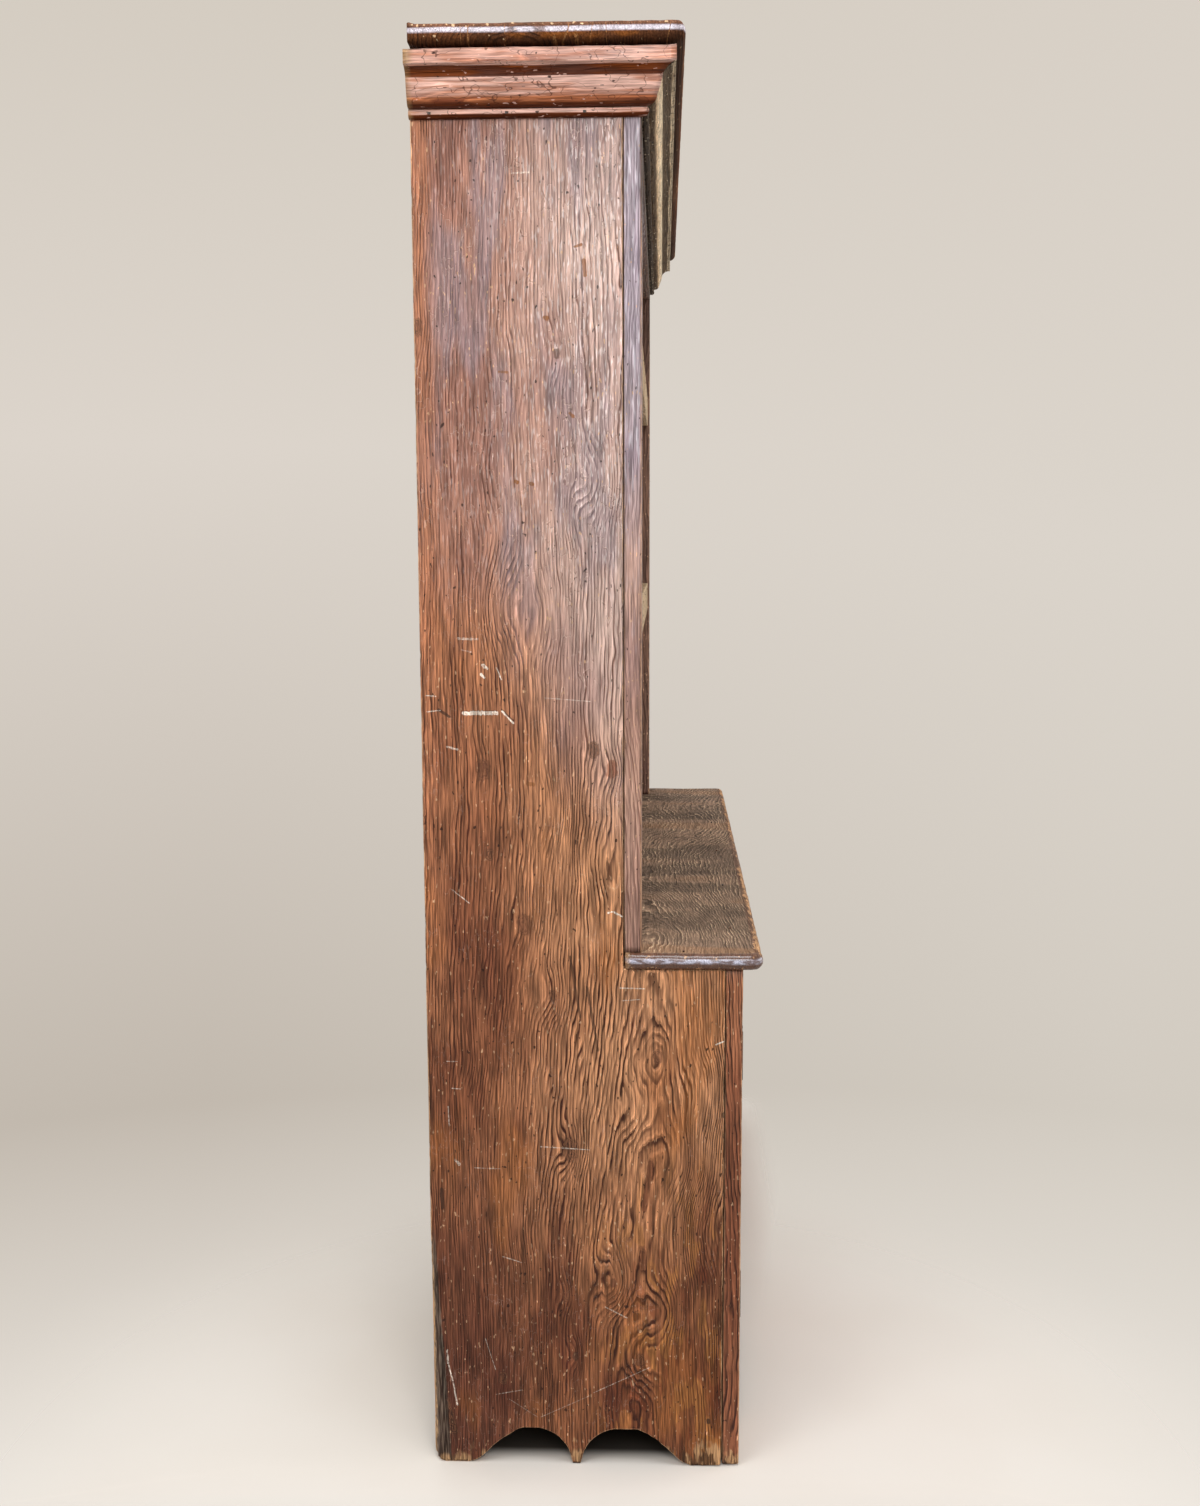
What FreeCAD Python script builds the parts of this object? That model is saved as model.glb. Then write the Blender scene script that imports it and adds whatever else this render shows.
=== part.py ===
import FreeCAD, Part

import os
from types import SimpleNamespace

import Sketcher

# Step back cupboard: open shelves above, two panelled doors below, one wide board a side.
# Millimetres. It stands on Z = 0, faces -Y and is centred on the origin. Depths are
# counted forwards from the plane of the back.

DIMENSIONS = {
    # the case
    "case_width": 1500,
    "total_height": 2058,
    "upper_depth": 314,
    "lower_depth": 461,
    "side_thick": 24,
    "frame_thick": 25,
    "shelf_thick": 22,
    "dado_depth": 6,
    "back_thick": 16,
    "back_recess": 1,
    "rabbet_width": 12,
    "back_bottom": 60,
    "back_lap": 8,
    "back_gap": 0.6,
    # the counter and the top board
    "counter_height": 797,
    "counter_thick": 24,
    "counter_front_overhang": 29,
    "counter_side_overhang": 12,
    "counter_corner": 15,
    "top_thick": 27,
    "top_front_overhang": 58,
    "top_side_overhang": 55,
    "top_back_inset": 7,
    "top_corner": 10,
    "nosing_radius": 11,
    "nosing_flat": 1,
    # the feet
    "back_foot": 66,
    "arch_height": 57,
    "arch_outer_run": 68,
    "arch_inner_run": 50,
    "back_arch_flat": 26,
    "front_arch_flat": 37,
    "arch_outer_bow": 5,
    "arch_inner_bow": 13,
    "drop_width": 13,
    "apron_foot": 25,
    # the cornice
    "crown_gap": 3,
    "crown_height": 67,
    "crown_projection": 46,
    "crown_fillet_height": 20,
    "crown_fillet_lip": 3,
    "crown_cove_rise": 11.5,
    "crown_swell_top": 28,
    "crown_swell_foot": 21,
    "crown_foot_rise": 12,
    "crown_foot": 10.5,
    "crown_cove_bow": 2,
    "crown_swell_bow": 1,
    "crown_foot_bow": 3,
    "bead_height": 12,
    "bead_projection": 10,
    "bead_round": 3.5,
    # the front frames
    "upper_stile_width": 90,
    "lower_stile_width": 90,
    "mullion_width": 80,
    "frieze_height": 106,
    "top_rail_height": 60,
    "apron_height": 130,
    "tenon_length": 30,
    "tenon_thick": 8,
    "tenon_shoulder": 12,
    "quirk_depth": 3,
    "quirk_width": 2,
    "bead_edge": 17,
    # the shelves
    "lip_height": 60,
    "lip_setback": 4,
    "lower_shelf_height": 440,
    "lower_shelf_gap": 1,
    "lower_shelf_setback": 56,
    "cleat_width": 20,
    "cleat_height": 25,
    "cleat_inset": 12,
    "stop_thick": 12,
    "stop_height": 50,
    "stop_reach": 10,
    "stop_inset": 60,
    # the doors
    "door_gap": 3,
    "door_thick": 23,
    "door_recess": 1,
    "door_stile_width": 75,
    "door_top_rail": 75,
    "door_bottom_rail": 90,
    "door_tenon": 45,
    "groove_depth": 10,
    "groove_width": 6,
    "panel_play": 1,
    "panel_bevel": 42,
    "field_rise": 6,
    "peg_radius": 4,
    "peg_proud": 0.8,
    "peg_inset": 18,
    # the knobs and the turn button
    "knob_reach": 26,
    "knob_radius": 14,
    "knob_neck": 8,
    "knob_neck_length": 6,
    "knob_flange": 10,
    "knob_tenon_radius": 6,
    "knob_tenon_length": 18,
    "knob_dome": 5,
    "knob_dome_bow": 2.5,
    "knob_neck_bow": 1,
    "button_height": 452,
    "button_reach": 55,
    "button_half_width": 10,
    "button_end_bow": 9,
    "button_thick": 9,
    "button_clearance": 0.5,
    "button_round": 2,
    "screw_radius": 2.5,
    "running_clearance": 0.06,
    "screw_head_radius": 5.5,
    "screw_head_thick": 2.5,
    "screw_depth": 22,
    # the hinges
    "hinge_height": 75,
    "hinge_inset": 60,
    "leaf_thick": 1.8,
    "leaf_width": 20,
    "leaf_gap": 1,
    "barrel_radius": 2.75,
    "barrel_offset": 2.9,
    "barrel_clearance": 0.35,
    "knuckle_clearance": 0.3,
    "pin_radius": 1.4,
    "pin_head_radius": 2.3,
    "pin_head_height": 1.4,
    "wood_screw_head": 3,
    "wood_screw_shank": 1.5,
    "wood_screw_tip": 0.5,
    "wood_screw_length": 16,
    "wood_screw_play": 0.1,
    "near_screw_inset": 7,
    "far_screw_inset": 13,
    # the cut nails
    "nail_length": 38,
    "brad_length": 26,
    "nail_head": 4.5,
    "nail_width": 2.8,
    "nail_tip": 1.2,
    "nail_proud": 0.4,
}

KNUCKLE_COUNT = 5
LEAF_SCREW_COUNT = 3
BACKBOARD_COUNT = 6
APRON_ARCH_COUNT = 4
CROWN_FRONT_NAIL_COUNT = 6
CROWN_SIDE_NAIL_COUNT = 3
STILE_NAIL_COUNT = 4
LIP_NAIL_COUNT = 4
COUNTER_NAIL_COUNT = 5
BACKBOARD_NAIL_COUNT = 2

# the shelves' places as shares of the height from the counter to the top board
UPPER_SHELF_SHARE = 0.736
MIDDLE_SHELF_SHARE = 0.4

FORWARD = FreeCAD.Rotation(FreeCAD.Vector(1, 0, 0), 90)
TO_LEFT = FreeCAD.Rotation(FreeCAD.Vector(0, 1, 0), -90)
TO_RIGHT = FreeCAD.Rotation(FreeCAD.Vector(0, 1, 0), 90)
NAIL_BACKWARD = FreeCAD.Rotation()
NAIL_FORWARD = FreeCAD.Rotation(FreeCAD.Vector(0, 0, 1), 180)
NAIL_TO_RIGHT = FreeCAD.Rotation(FreeCAD.Vector(0, 0, 1), -90)
NAIL_DOWN = FreeCAD.Rotation(FreeCAD.Vector(1, 0, 0), -90)

# how a sketch's constraints name its origin and the two ends of an edge
ORIGIN = -1
ORIGIN_INDEX = 1
START_INDEX = 1
END_INDEX = 2

# an edge counts as lying on a place that it is nearer to than this
NEAR = 1

doc = FreeCAD.newDocument("StepBackCupboard")
pieces = []


# --- sizes that know their own expression -------------------------------------------------

class Size:
    """A length: its number, and the expression that gives it from the sheet."""

    def __init__(self, number, text):
        self.number = float(number)
        self.text = text

    def __add__(self, other):
        other = as_size(other)
        return Size(self.number + other.number, f"({self.text} + {other.text})")

    def __sub__(self, other):
        other = as_size(other)
        return Size(self.number - other.number, f"({self.text} - {other.text})")

    def __mul__(self, other):
        other = as_size(other)
        return Size(self.number * other.number, f"({self.text} * {other.text})")

    def __truediv__(self, other):
        other = as_size(other)
        return Size(self.number / other.number, f"({self.text} / {other.text})")

    def __neg__(self):
        return Size(-self.number, f"(0 - {self.text})")

    def __radd__(self, other):
        return as_size(other) + self

    def __rsub__(self, other):
        return as_size(other) - self

    def __rmul__(self, other):
        return as_size(other) * self


def as_size(value):
    return value if isinstance(value, Size) else Size(value, str(value))


def larger(first, second):
    return Size(max(first.number, second.number), f"max({first.text}; {second.text})")


def smaller(first, second):
    return Size(min(first.number, second.number), f"min({first.text}; {second.text})")


def between(low, high, share):
    return low + (high - low) * share


def make_sheet():
    """Fill the spreadsheet and return its cells as named sizes."""
    sheet = doc.addObject("Spreadsheet::Sheet", "sizes")
    for row, (name, number) in enumerate(DIMENSIONS.items(), 1):
        sheet.set(f"A{row}", name)
        sheet.set(f"B{row}", str(number))
        sheet.setAlias(f"B{row}", name)
    doc.recompute()
    return SimpleNamespace(**{name: Size(number, f"sizes.{name}")
                              for name, number in DIMENSIONS.items()})


# --- building blocks ----------------------------------------------------------------------

def bind(item, path, size):
    item.setExpression(path, as_size(size).text)


def place(item, x, y, z, rotation=FreeCAD.Rotation()):
    item.Placement = FreeCAD.Placement(FreeCAD.Vector(), rotation)
    for axis, size in zip("xyz", (x, y, z)):
        bind(item, f"Placement.Base.{axis}", size)


def span_box(item, x, y, z):
    """Give a box its three spans, each a pair of low and high."""
    for length, (low, high) in zip(("Length", "Width", "Height"), (x, y, z)):
        bind(item, length, as_size(high) - low)
    place(item, x[0], y[0], z[0])


def keep(item, name):
    """Name a finished sub-part and put it on the list of those to write."""
    item.Label = name
    pieces.append(item)
    return item


def board(name, x, y, z):
    item = doc.addObject("Part::Box", name)
    span_box(item, x, y, z)
    return item


def cylinder(name, radius, height, x, y, z, rotation=FreeCAD.Rotation()):
    item = doc.addObject("Part::Cylinder", name)
    bind(item, "Radius", radius)
    bind(item, "Height", height)
    place(item, x, y, z, rotation)
    return item


def cone(name, radius, end_radius, height, x, y, z, rotation):
    item = doc.addObject("Part::Cone", name)
    bind(item, "Radius1", radius)
    bind(item, "Radius2", end_radius)
    bind(item, "Height", height)
    place(item, x, y, z, rotation)
    return item


def union(name, items):
    item = doc.addObject("Part::MultiFuse", name)
    item.Shapes = items
    return item


def difference(name, base, tools):
    item = doc.addObject("Part::Cut", name)
    item.Base = base
    item.Tool = tools[0] if len(tools) == 1 else union(name + "_tools", tools)
    return item


def group(name, items):
    item = doc.addObject("Part::Compound", name)
    item.Links = items
    return item


def mirror(name, source):
    """The right-hand twin of a left-hand piece."""
    item = doc.addObject("Part::Mirroring", name)
    item.Source = source
    item.Normal = FreeCAD.Vector(1, 0, 0)
    return item


def keep_pair(left_name, right_name, item):
    keep(item, left_name)
    keep(mirror(right_name, item), right_name)


def new_body(name):
    return doc.addObject("PartDesign::Body", name + "_body")


def add_block(body, name, x, y, z):
    span_box(body.newObject("PartDesign::AdditiveBox", name), x, y, z)


def cut_block(body, name, x, y, z):
    span_box(body.newObject("PartDesign::SubtractiveBox", name), x, y, z)


def cut_bore(body, name, radius, length, x, y, z):
    """A round hole that runs forwards from its starting point."""
    item = body.newObject("PartDesign::SubtractiveCylinder", name)
    bind(item, "Radius", radius)
    bind(item, "Height", length)
    place(item, x, y, z, FORWARD)


def new_sketch(body, name, plane, offset=0):
    """A sketch on one of the body's own origin planes, moved along its normal."""
    sketch = body.newObject("Sketcher::SketchObject", name)
    plane_object = next(item for item in body.Origin.OriginFeatures if item.Role == plane)
    sketch.AttachmentSupport = [(plane_object, "")]
    sketch.MapMode = "FlatFace"
    bind(sketch, "AttachmentOffset.Base.z", offset)
    return sketch


def arc_between(start, end, bow):
    """The circular edge that bows to the right of its travel by bow, or left if negative."""
    chord = end - start
    left = FreeCAD.Vector(-chord.y, chord.x, 0).normalize()
    radius = (chord.Length ** 2 / 4 + bow ** 2) / (2 * bow)
    centre = (start + end) * 0.5 + left * (radius - bow)
    first, last = (start, end) if bow > 0 else (end, start)
    circle = Part.Circle(centre, FreeCAD.Vector(0, 0, 1), abs(radius))
    return Part.ArcOfCircle(circle, circle.parameter(first), circle.parameter(last))


def draw_outline(sketch, outline):
    """Draw a closed outline. A corner is (u, v), or (u, v, bow) where an arc follows it."""
    first = sketch.GeometryCount
    count = len(outline)
    points = [FreeCAD.Vector(as_size(corner[0]).number, as_size(corner[1]).number, 0)
              for corner in outline]
    bows = [as_size(corner[2]) if len(corner) > 2 else None for corner in outline]
    for index, bow in enumerate(bows):
        start, end = points[index], points[(index + 1) % count]
        edge = arc_between(start, end, bow.number) if bow else Part.LineSegment(start, end)
        sketch.addGeometry(edge, False)
    # an arc that bows to the left is stored from its end to its start
    ends = [(END_INDEX, START_INDEX) if bow and bow.number < 0 else (START_INDEX, END_INDEX)
            for bow in bows]
    for index, corner in enumerate(outline):
        following = (index + 1) % count
        edge = first + index
        sketch.addConstraint(Sketcher.Constraint("Coincident", edge, ends[index][1],
                                                 first + following, ends[following][0]))
        for kind, size in zip(("DistanceX", "DistanceY"), corner):
            constraint = Sketcher.Constraint(kind, ORIGIN, ORIGIN_INDEX, edge, ends[index][0],
                                             as_size(size).number)
            bound = sketch.addConstraint(constraint)
            bind(sketch, f"Constraints[{bound}]", size)
        if bows[index]:
            radius = bow_radius(corner, outline[following], bows[index])
            bound = sketch.addConstraint(Sketcher.Constraint("Radius", edge, radius.number))
            bind(sketch, f"Constraints[{bound}]", radius)


def bow_radius(start, end, bow):
    """The radius of the arc over the chord from start to end that bows by bow."""
    across = as_size(end[0]) - start[0]
    up = as_size(end[1]) - start[1]
    if bow.number < 0:
        bow = -bow
    return ((across * across + up * up) / 4 + bow * bow) / (bow * 2)


def pad_outline(body, name, plane, outline, span):
    """Pad an outline on one of the body's planes over a span of the third axis."""
    low, high = span
    offset = -high if plane == "XZ_Plane" else low
    sketch = new_sketch(body, name + "_outline", plane, offset)
    draw_outline(sketch, outline)
    pad = body.newObject("PartDesign::Pad", name + "_pad")
    pad.Profile = sketch
    bind(pad, "Length", high - low)
    return pad


def round_edges(body, name, radius, wanted):
    """Fillet the edges of the body's last feature whose middle is wanted."""
    doc.recompute()
    base = body.Tip
    chosen = []
    for index, edge in enumerate(base.Shape.Edges, 1):
        middle = edge.valueAt((edge.FirstParameter + edge.LastParameter) / 2)
        if wanted(edge, middle):
            chosen.append(f"Edge{index}")
    fillet = body.newObject("PartDesign::Fillet", name)
    fillet.Base = (base, chosen)
    bind(fillet, "Radius", radius)


def is_upright(edge):
    low, high = edge.BoundBox.ZMin, edge.BoundBox.ZMax
    return high - low > NEAR


# --- places that the pieces share ---------------------------------------------------------

S = make_sheet()
front_reach = larger(S.counter_front_overhang, S.knob_reach - S.door_recess)
back = (S.lower_depth + front_reach) / 2
left = -S.case_width / 2
right = S.case_width / 2
inner_left = left + S.side_thick
inner_right = right - S.side_thick
dado_left = inner_left - S.dado_depth
dado_right = inner_right + S.dado_depth
top_underside = S.total_height - S.top_thick
counter_underside = S.counter_height - S.counter_thick
upper_side_depth = S.upper_depth - S.frame_thick
lower_side_depth = S.lower_depth - S.frame_thick
stile_edge = left + S.lower_stile_width
mullion_edge = -S.mullion_width / 2
opening_top = counter_underside - S.top_rail_height
opening_bottom = S.apron_height
crown_top = top_underside - S.crown_gap
crown_bottom = crown_top - S.crown_height
back_depth = S.back_recess + S.back_thick


def at_depth(depth):
    return back - depth


def depths(rear, front):
    """The span of Y between two depths."""
    return (at_depth(front), at_depth(rear))


upper_face = at_depth(S.upper_depth)
lower_face = at_depth(S.lower_depth)
upper_frame = depths(upper_side_depth, S.upper_depth)
lower_frame = depths(lower_side_depth, S.lower_depth)


def shouldered(low, high):
    """The span of a tenon that stands in from both edges of its rail."""
    return (low + S.tenon_shoulder, high - S.tenon_shoulder)


def middle_of(span, thickness):
    """A span of the given thickness in the middle of another."""
    centre = (span[0] + span[1]) / 2
    return (centre - thickness / 2, centre + thickness / 2)


upper_tenon = middle_of(upper_frame, S.tenon_thick)
lower_tenon = middle_of(lower_frame, S.tenon_thick)
shelf_heights = {
    "upper_shelf": between(S.counter_height, top_underside, UPPER_SHELF_SHARE),
    "middle_shelf": between(S.counter_height, top_underside, MIDDLE_SHELF_SHARE),
}


# --- the sides and what they carry --------------------------------------------------------

def scalloped_edge(corners):
    """Corners along the floor with the arch between each neighbouring pair of feet."""
    outline = []
    for start, end, start_run, end_run, start_bow, end_bow in corners:
        outline += [(start, 0, -start_bow),
                    (start + start_run, S.arch_height),
                    (end - end_run, S.arch_height, -end_bow),
                    (end, 0)]
    return outline


def make_side():
    back_arch_end = (S.back_foot + S.arch_outer_run + S.back_arch_flat + S.arch_inner_run)
    front_arch_start = back_arch_end + S.drop_width
    front_arch_end = (front_arch_start + S.arch_inner_run + S.front_arch_flat + S.arch_outer_run)
    arches = [
        (at_depth(front_arch_end), at_depth(front_arch_start),
         S.arch_outer_run, S.arch_inner_run, S.arch_outer_bow, S.arch_inner_bow),
        (at_depth(back_arch_end), at_depth(S.back_foot),
         S.arch_inner_run, S.arch_outer_run, S.arch_inner_bow, S.arch_outer_bow),
    ]
    outline = [(at_depth(lower_side_depth), 0)]
    outline += scalloped_edge(arches)
    outline += [
        (back, 0),
        (back, top_underside),
        (at_depth(upper_side_depth), top_underside),
        (at_depth(upper_side_depth), counter_underside),
        (at_depth(lower_side_depth), counter_underside),
    ]
    body = new_body("side_left")
    pad_outline(body, "side", "YZ_Plane", outline, (left, inner_left))
    dado = (dado_left, inner_left)
    upper_depths = depths(back_depth, upper_side_depth)
    for name, height in shelf_heights.items():
        cut_block(body, name + "_dado", dado, upper_depths, (height - S.shelf_thick, height))
    cut_block(body, "counter_dado", dado, upper_depths, (counter_underside, S.counter_height))
    cut_block(body, "bottom_dado", dado, depths(back_depth, lower_side_depth),
              (opening_bottom - S.shelf_thick, opening_bottom))
    cut_block(body, "back_rabbet", (inner_left - S.rabbet_width, inner_left),
              depths(0, back_depth), (S.back_bottom, top_underside))
    keep_pair("side_left", "side_right", body)


def make_shelves():
    for name, height in shelf_heights.items():
        keep(board(name, (dado_left, dado_right), depths(back_depth, upper_side_depth),
                   (height - S.shelf_thick, height)), name)
        lip = board(name + "_lip", (left + S.upper_stile_width, right - S.upper_stile_width),
                    depths(upper_side_depth, S.upper_depth - S.lip_setback),
                    (height - S.lip_height, height))
        keep(lip, name + "_lip")
    keep(board("bottom_board", (dado_left, dado_right), depths(back_depth, lower_side_depth),
               (opening_bottom - S.shelf_thick, opening_bottom)), "bottom_board")
    underside = S.lower_shelf_height - S.shelf_thick
    shelf_front = lower_side_depth - S.lower_shelf_setback
    keep(board("lower_shelf", (inner_left + S.lower_shelf_gap, inner_right - S.lower_shelf_gap),
               depths(back_depth + S.lower_shelf_gap, shelf_front),
               (underside, S.lower_shelf_height)), "lower_shelf")
    cleat = board("left_cleat", (inner_left, inner_left + S.cleat_width),
                  depths(back_depth + S.cleat_inset, shelf_front - S.cleat_inset),
                  (underside - S.cleat_height, underside))
    keep(group("shelf_cleats_group", [cleat, mirror("right_cleat", cleat)]), "shelf_cleats")


def make_backboards():
    """Upright boards; the front half of each laps over the rear half of the next."""
    low = inner_left - S.rabbet_width
    high = inner_right + S.rabbet_width
    heights = (S.back_bottom, top_underside)
    middle = S.back_recess + S.back_thick / 2
    for index in range(BACKBOARD_COUNT):
        start = between(low, high, index / BACKBOARD_COUNT)
        end = between(low, high, (index + 1) / BACKBOARD_COUNT)
        rear_end = end - S.back_gap if index < BACKBOARD_COUNT - 1 else end
        front_start = start + S.back_lap + S.back_gap if index > 0 else start
        front_end = end + S.back_lap if index < BACKBOARD_COUNT - 1 else end
        name = f"backboard_{index + 1}"
        body = new_body(name)
        add_block(body, name + "_rear", (start, rear_end), depths(S.back_recess, middle), heights)
        add_block(body, name + "_front", (front_start, front_end),
                  depths(middle, back_depth), heights)
        keep(body, name)


# --- the counter and the top --------------------------------------------------------------

def make_counter():
    reach_left = left - S.counter_side_overhang
    reach_right = right + S.counter_side_overhang
    front = lower_face - S.counter_front_overhang
    notch = at_depth(upper_side_depth)
    rear = at_depth(back_depth)
    body = new_body("counter")
    pad_outline(body, "counter", "XY_Plane", [
        (reach_left, front), (reach_right, front), (reach_right, notch), (dado_right, notch),
        (dado_right, rear), (dado_left, rear), (dado_left, notch), (reach_left, notch),
    ], (counter_underside, S.counter_height))
    round_edges(body, "counter_corners", S.counter_corner,
                lambda edge, middle: is_upright(edge) and middle.y < front.number + NEAR)
    round_edges(body, "counter_nosing", smaller(S.nosing_radius, (S.counter_thick - S.nosing_flat) / 2),
                lambda edge, middle: not is_upright(edge) and middle.y < notch.number - NEAR
                and (abs(middle.x) > right.number or middle.y < front.number + NEAR))
    keep(body, "counter")


def make_top_board():
    reach_left = left - S.top_side_overhang
    reach_right = right + S.top_side_overhang
    front = upper_face - S.top_front_overhang
    rear = at_depth(S.top_back_inset)
    body = new_body("top_board")
    add_block(body, "top_blank", (reach_left, reach_right), (front, rear),
              (top_underside, S.total_height))
    round_edges(body, "top_corners", S.top_corner,
                lambda edge, middle: is_upright(edge) and middle.y < front.number + NEAR)
    round_edges(body, "top_nosing", smaller(S.nosing_radius, (S.top_thick - S.nosing_flat) / 2),
                lambda edge, middle: not is_upright(edge) and middle.y < rear.number - NEAR)
    keep(body, "top_board")


# --- the cornice --------------------------------------------------------------------------

def crown_outline(wall):
    """The crown's section in front of a wall: foot, swelling, cove and top fillet."""
    fillet_foot = crown_top - S.crown_fillet_height
    return [
        (wall - S.crown_foot, crown_bottom),
        (wall, crown_bottom),
        (wall, crown_top),
        (wall - S.crown_projection, crown_top),
        (wall - S.crown_projection, fillet_foot),
        (wall - S.crown_projection + S.crown_fillet_lip, fillet_foot, -S.crown_cove_bow),
        (wall - S.crown_swell_top, fillet_foot - S.crown_cove_rise, S.crown_swell_bow),
        (wall - S.crown_swell_foot, crown_bottom + S.crown_foot_rise, S.crown_foot_bow),
    ]


def bead_outline(wall):
    """The bead's section: a square strip with a half-round nose."""
    nose = wall - S.bead_projection + S.bead_round
    return [
        (nose, crown_bottom - S.bead_height),
        (wall, crown_bottom - S.bead_height),
        (wall, crown_bottom),
        (nose, crown_bottom, S.bead_round),
    ]


def cut_mitre(body, name, triangles):
    """Cut the whole height away over triangles in plan."""
    sketch = new_sketch(body, name + "_mitre_plan", "XY_Plane")
    for triangle in triangles:
        draw_outline(sketch, triangle)
    pocket = body.newObject("PartDesign::Pocket", name + "_mitre")
    pocket.Profile = sketch
    pocket.Reversed = True
    bind(pocket, "Length", S.total_height)


def make_moulding(name, outline_of, projection):
    """A moulding along the front and both sides, mitred at the corners."""
    reach = projection + 1
    front_tip = upper_face - reach
    body = new_body(name + "_front")
    pad_outline(body, name + "_front", "YZ_Plane", outline_of(upper_face),
                (left - projection, right + projection))
    cut_mitre(body, name + "_front", [
        [(left, upper_face), (left - reach, upper_face), (left - reach, front_tip)],
        [(right, upper_face), (right + reach, front_tip), (right + reach, upper_face)],
    ])
    keep(body, name + "_front")
    body = new_body(name + "_left")
    pad_outline(body, name + "_left", "XZ_Plane", outline_of(left),
                (upper_face - projection, back))
    cut_mitre(body, name + "_left", [
        [(left, upper_face), (left - reach, front_tip), (left, front_tip)],
    ])
    keep_pair(name + "_left", name + "_right", body)


# --- the front frames ---------------------------------------------------------------------

def make_upper_frame():
    edge = left + S.upper_stile_width
    frieze = (top_underside - S.frieze_height, top_underside)
    body = new_body("upper_stile_left")
    add_block(body, "upper_stile_blank", (left, edge), upper_frame,
              (S.counter_height, top_underside))
    cut_block(body, "frieze_mortise", (edge - S.tenon_length, edge), upper_tenon,
              shouldered(*frieze))
    quirk_front = S.upper_depth - S.bead_edge
    cut_block(body, "edge_quirk", (edge - S.quirk_depth, edge),
              depths(quirk_front - S.quirk_width, quirk_front),
              (S.counter_height, frieze[0]))
    keep_pair("upper_stile_left", "upper_stile_right", body)
    body = new_body("frieze_rail")
    add_block(body, "frieze_blank", (edge, -edge), upper_frame, frieze)
    add_block(body, "frieze_tenons", (edge - S.tenon_length, S.tenon_length - edge),
              upper_tenon, shouldered(*frieze))
    keep(body, "frieze_rail")


def hinge_spans():
    """The height spans of the lower and the upper hinge of a door."""
    low = opening_bottom + S.door_gap + S.hinge_inset
    high = opening_top - S.door_gap - S.hinge_inset
    return {"lower": (low, low + S.hinge_height), "upper": (high - S.hinge_height, high)}


def make_lower_frame():
    top_rail = (opening_top, counter_underside)
    apron_tenon = (S.arch_height + S.tenon_shoulder, S.apron_height - S.tenon_shoulder)
    body = new_body("lower_stile_left")
    add_block(body, "lower_stile_blank", (left, stile_edge), lower_frame, (0, counter_underside))
    mortise = (stile_edge - S.tenon_length, stile_edge)
    cut_block(body, "top_rail_mortise", mortise, lower_tenon, shouldered(*top_rail))
    cut_block(body, "apron_mortise", mortise, lower_tenon, apron_tenon)
    for name, span in hinge_spans().items():
        cut_block(body, name + "_case_gain", (stile_edge - gain_depth, stile_edge),
                  depths(S.lower_depth - S.leaf_width, S.lower_depth), span)
    keep_pair("lower_stile_left", "lower_stile_right", body)

    body = new_body("top_rail")
    add_block(body, "top_rail_blank", (stile_edge, -stile_edge), lower_frame, top_rail)
    add_block(body, "top_rail_tenons", (stile_edge - S.tenon_length, S.tenon_length - stile_edge),
              lower_tenon, shouldered(*top_rail))
    mullion_tenon = (mullion_edge + S.tenon_shoulder, -mullion_edge - S.tenon_shoulder)
    cut_block(body, "mullion_mortise_above", mullion_tenon, lower_tenon,
              (opening_top, opening_top + S.tenon_length))
    keep(body, "top_rail")

    body = new_body("mullion")
    add_block(body, "mullion_blank", (mullion_edge, -mullion_edge), lower_frame,
              (opening_bottom, opening_top))
    add_block(body, "mullion_tenons", mullion_tenon, lower_tenon,
              (opening_bottom - S.tenon_length, opening_top + S.tenon_length))
    keep(body, "mullion")

    body = new_body("apron")
    pad_outline(body, "apron", "XZ_Plane", apron_outline(), lower_frame)
    add_block(body, "apron_tenons", (stile_edge - S.tenon_length, S.tenon_length - stile_edge),
              lower_tenon, apron_tenon)
    cut_block(body, "mullion_mortise_below", mullion_tenon, lower_tenon,
              (opening_bottom - S.tenon_length, opening_bottom))
    keep(body, "apron")


def apron_outline():
    """A rail whose lower edge repeats the arches and drops of the sides."""
    first = stile_edge + S.apron_foot
    width = ((-first - first) - S.drop_width * (APRON_ARCH_COUNT - 1)) / APRON_ARCH_COUNT
    arches = []
    for index in range(APRON_ARCH_COUNT):
        start = first + (width + S.drop_width) * index
        outer_start = index == 0
        outer_end = index == APRON_ARCH_COUNT - 1
        arches.append((
            start, start + width,
            S.arch_outer_run if outer_start else S.arch_inner_run,
            S.arch_outer_run if outer_end else S.arch_inner_run,
            S.arch_outer_bow if outer_start else S.arch_inner_bow,
            S.arch_outer_bow if outer_end else S.arch_inner_bow,
        ))
    return ([(stile_edge, 0)] + scalloped_edge(arches)
            + [(-stile_edge, 0), (-stile_edge, S.apron_height), (stile_edge, S.apron_height)])


def make_door_stop():
    keep(board("door_stop", (stile_edge + S.stop_inset, -stile_edge - S.stop_inset),
               depths(lower_side_depth - S.stop_thick, lower_side_depth),
               (opening_top - S.stop_reach, opening_top - S.stop_reach + S.stop_height)),
         "door_stop")


# --- the doors ----------------------------------------------------------------------------

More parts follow.
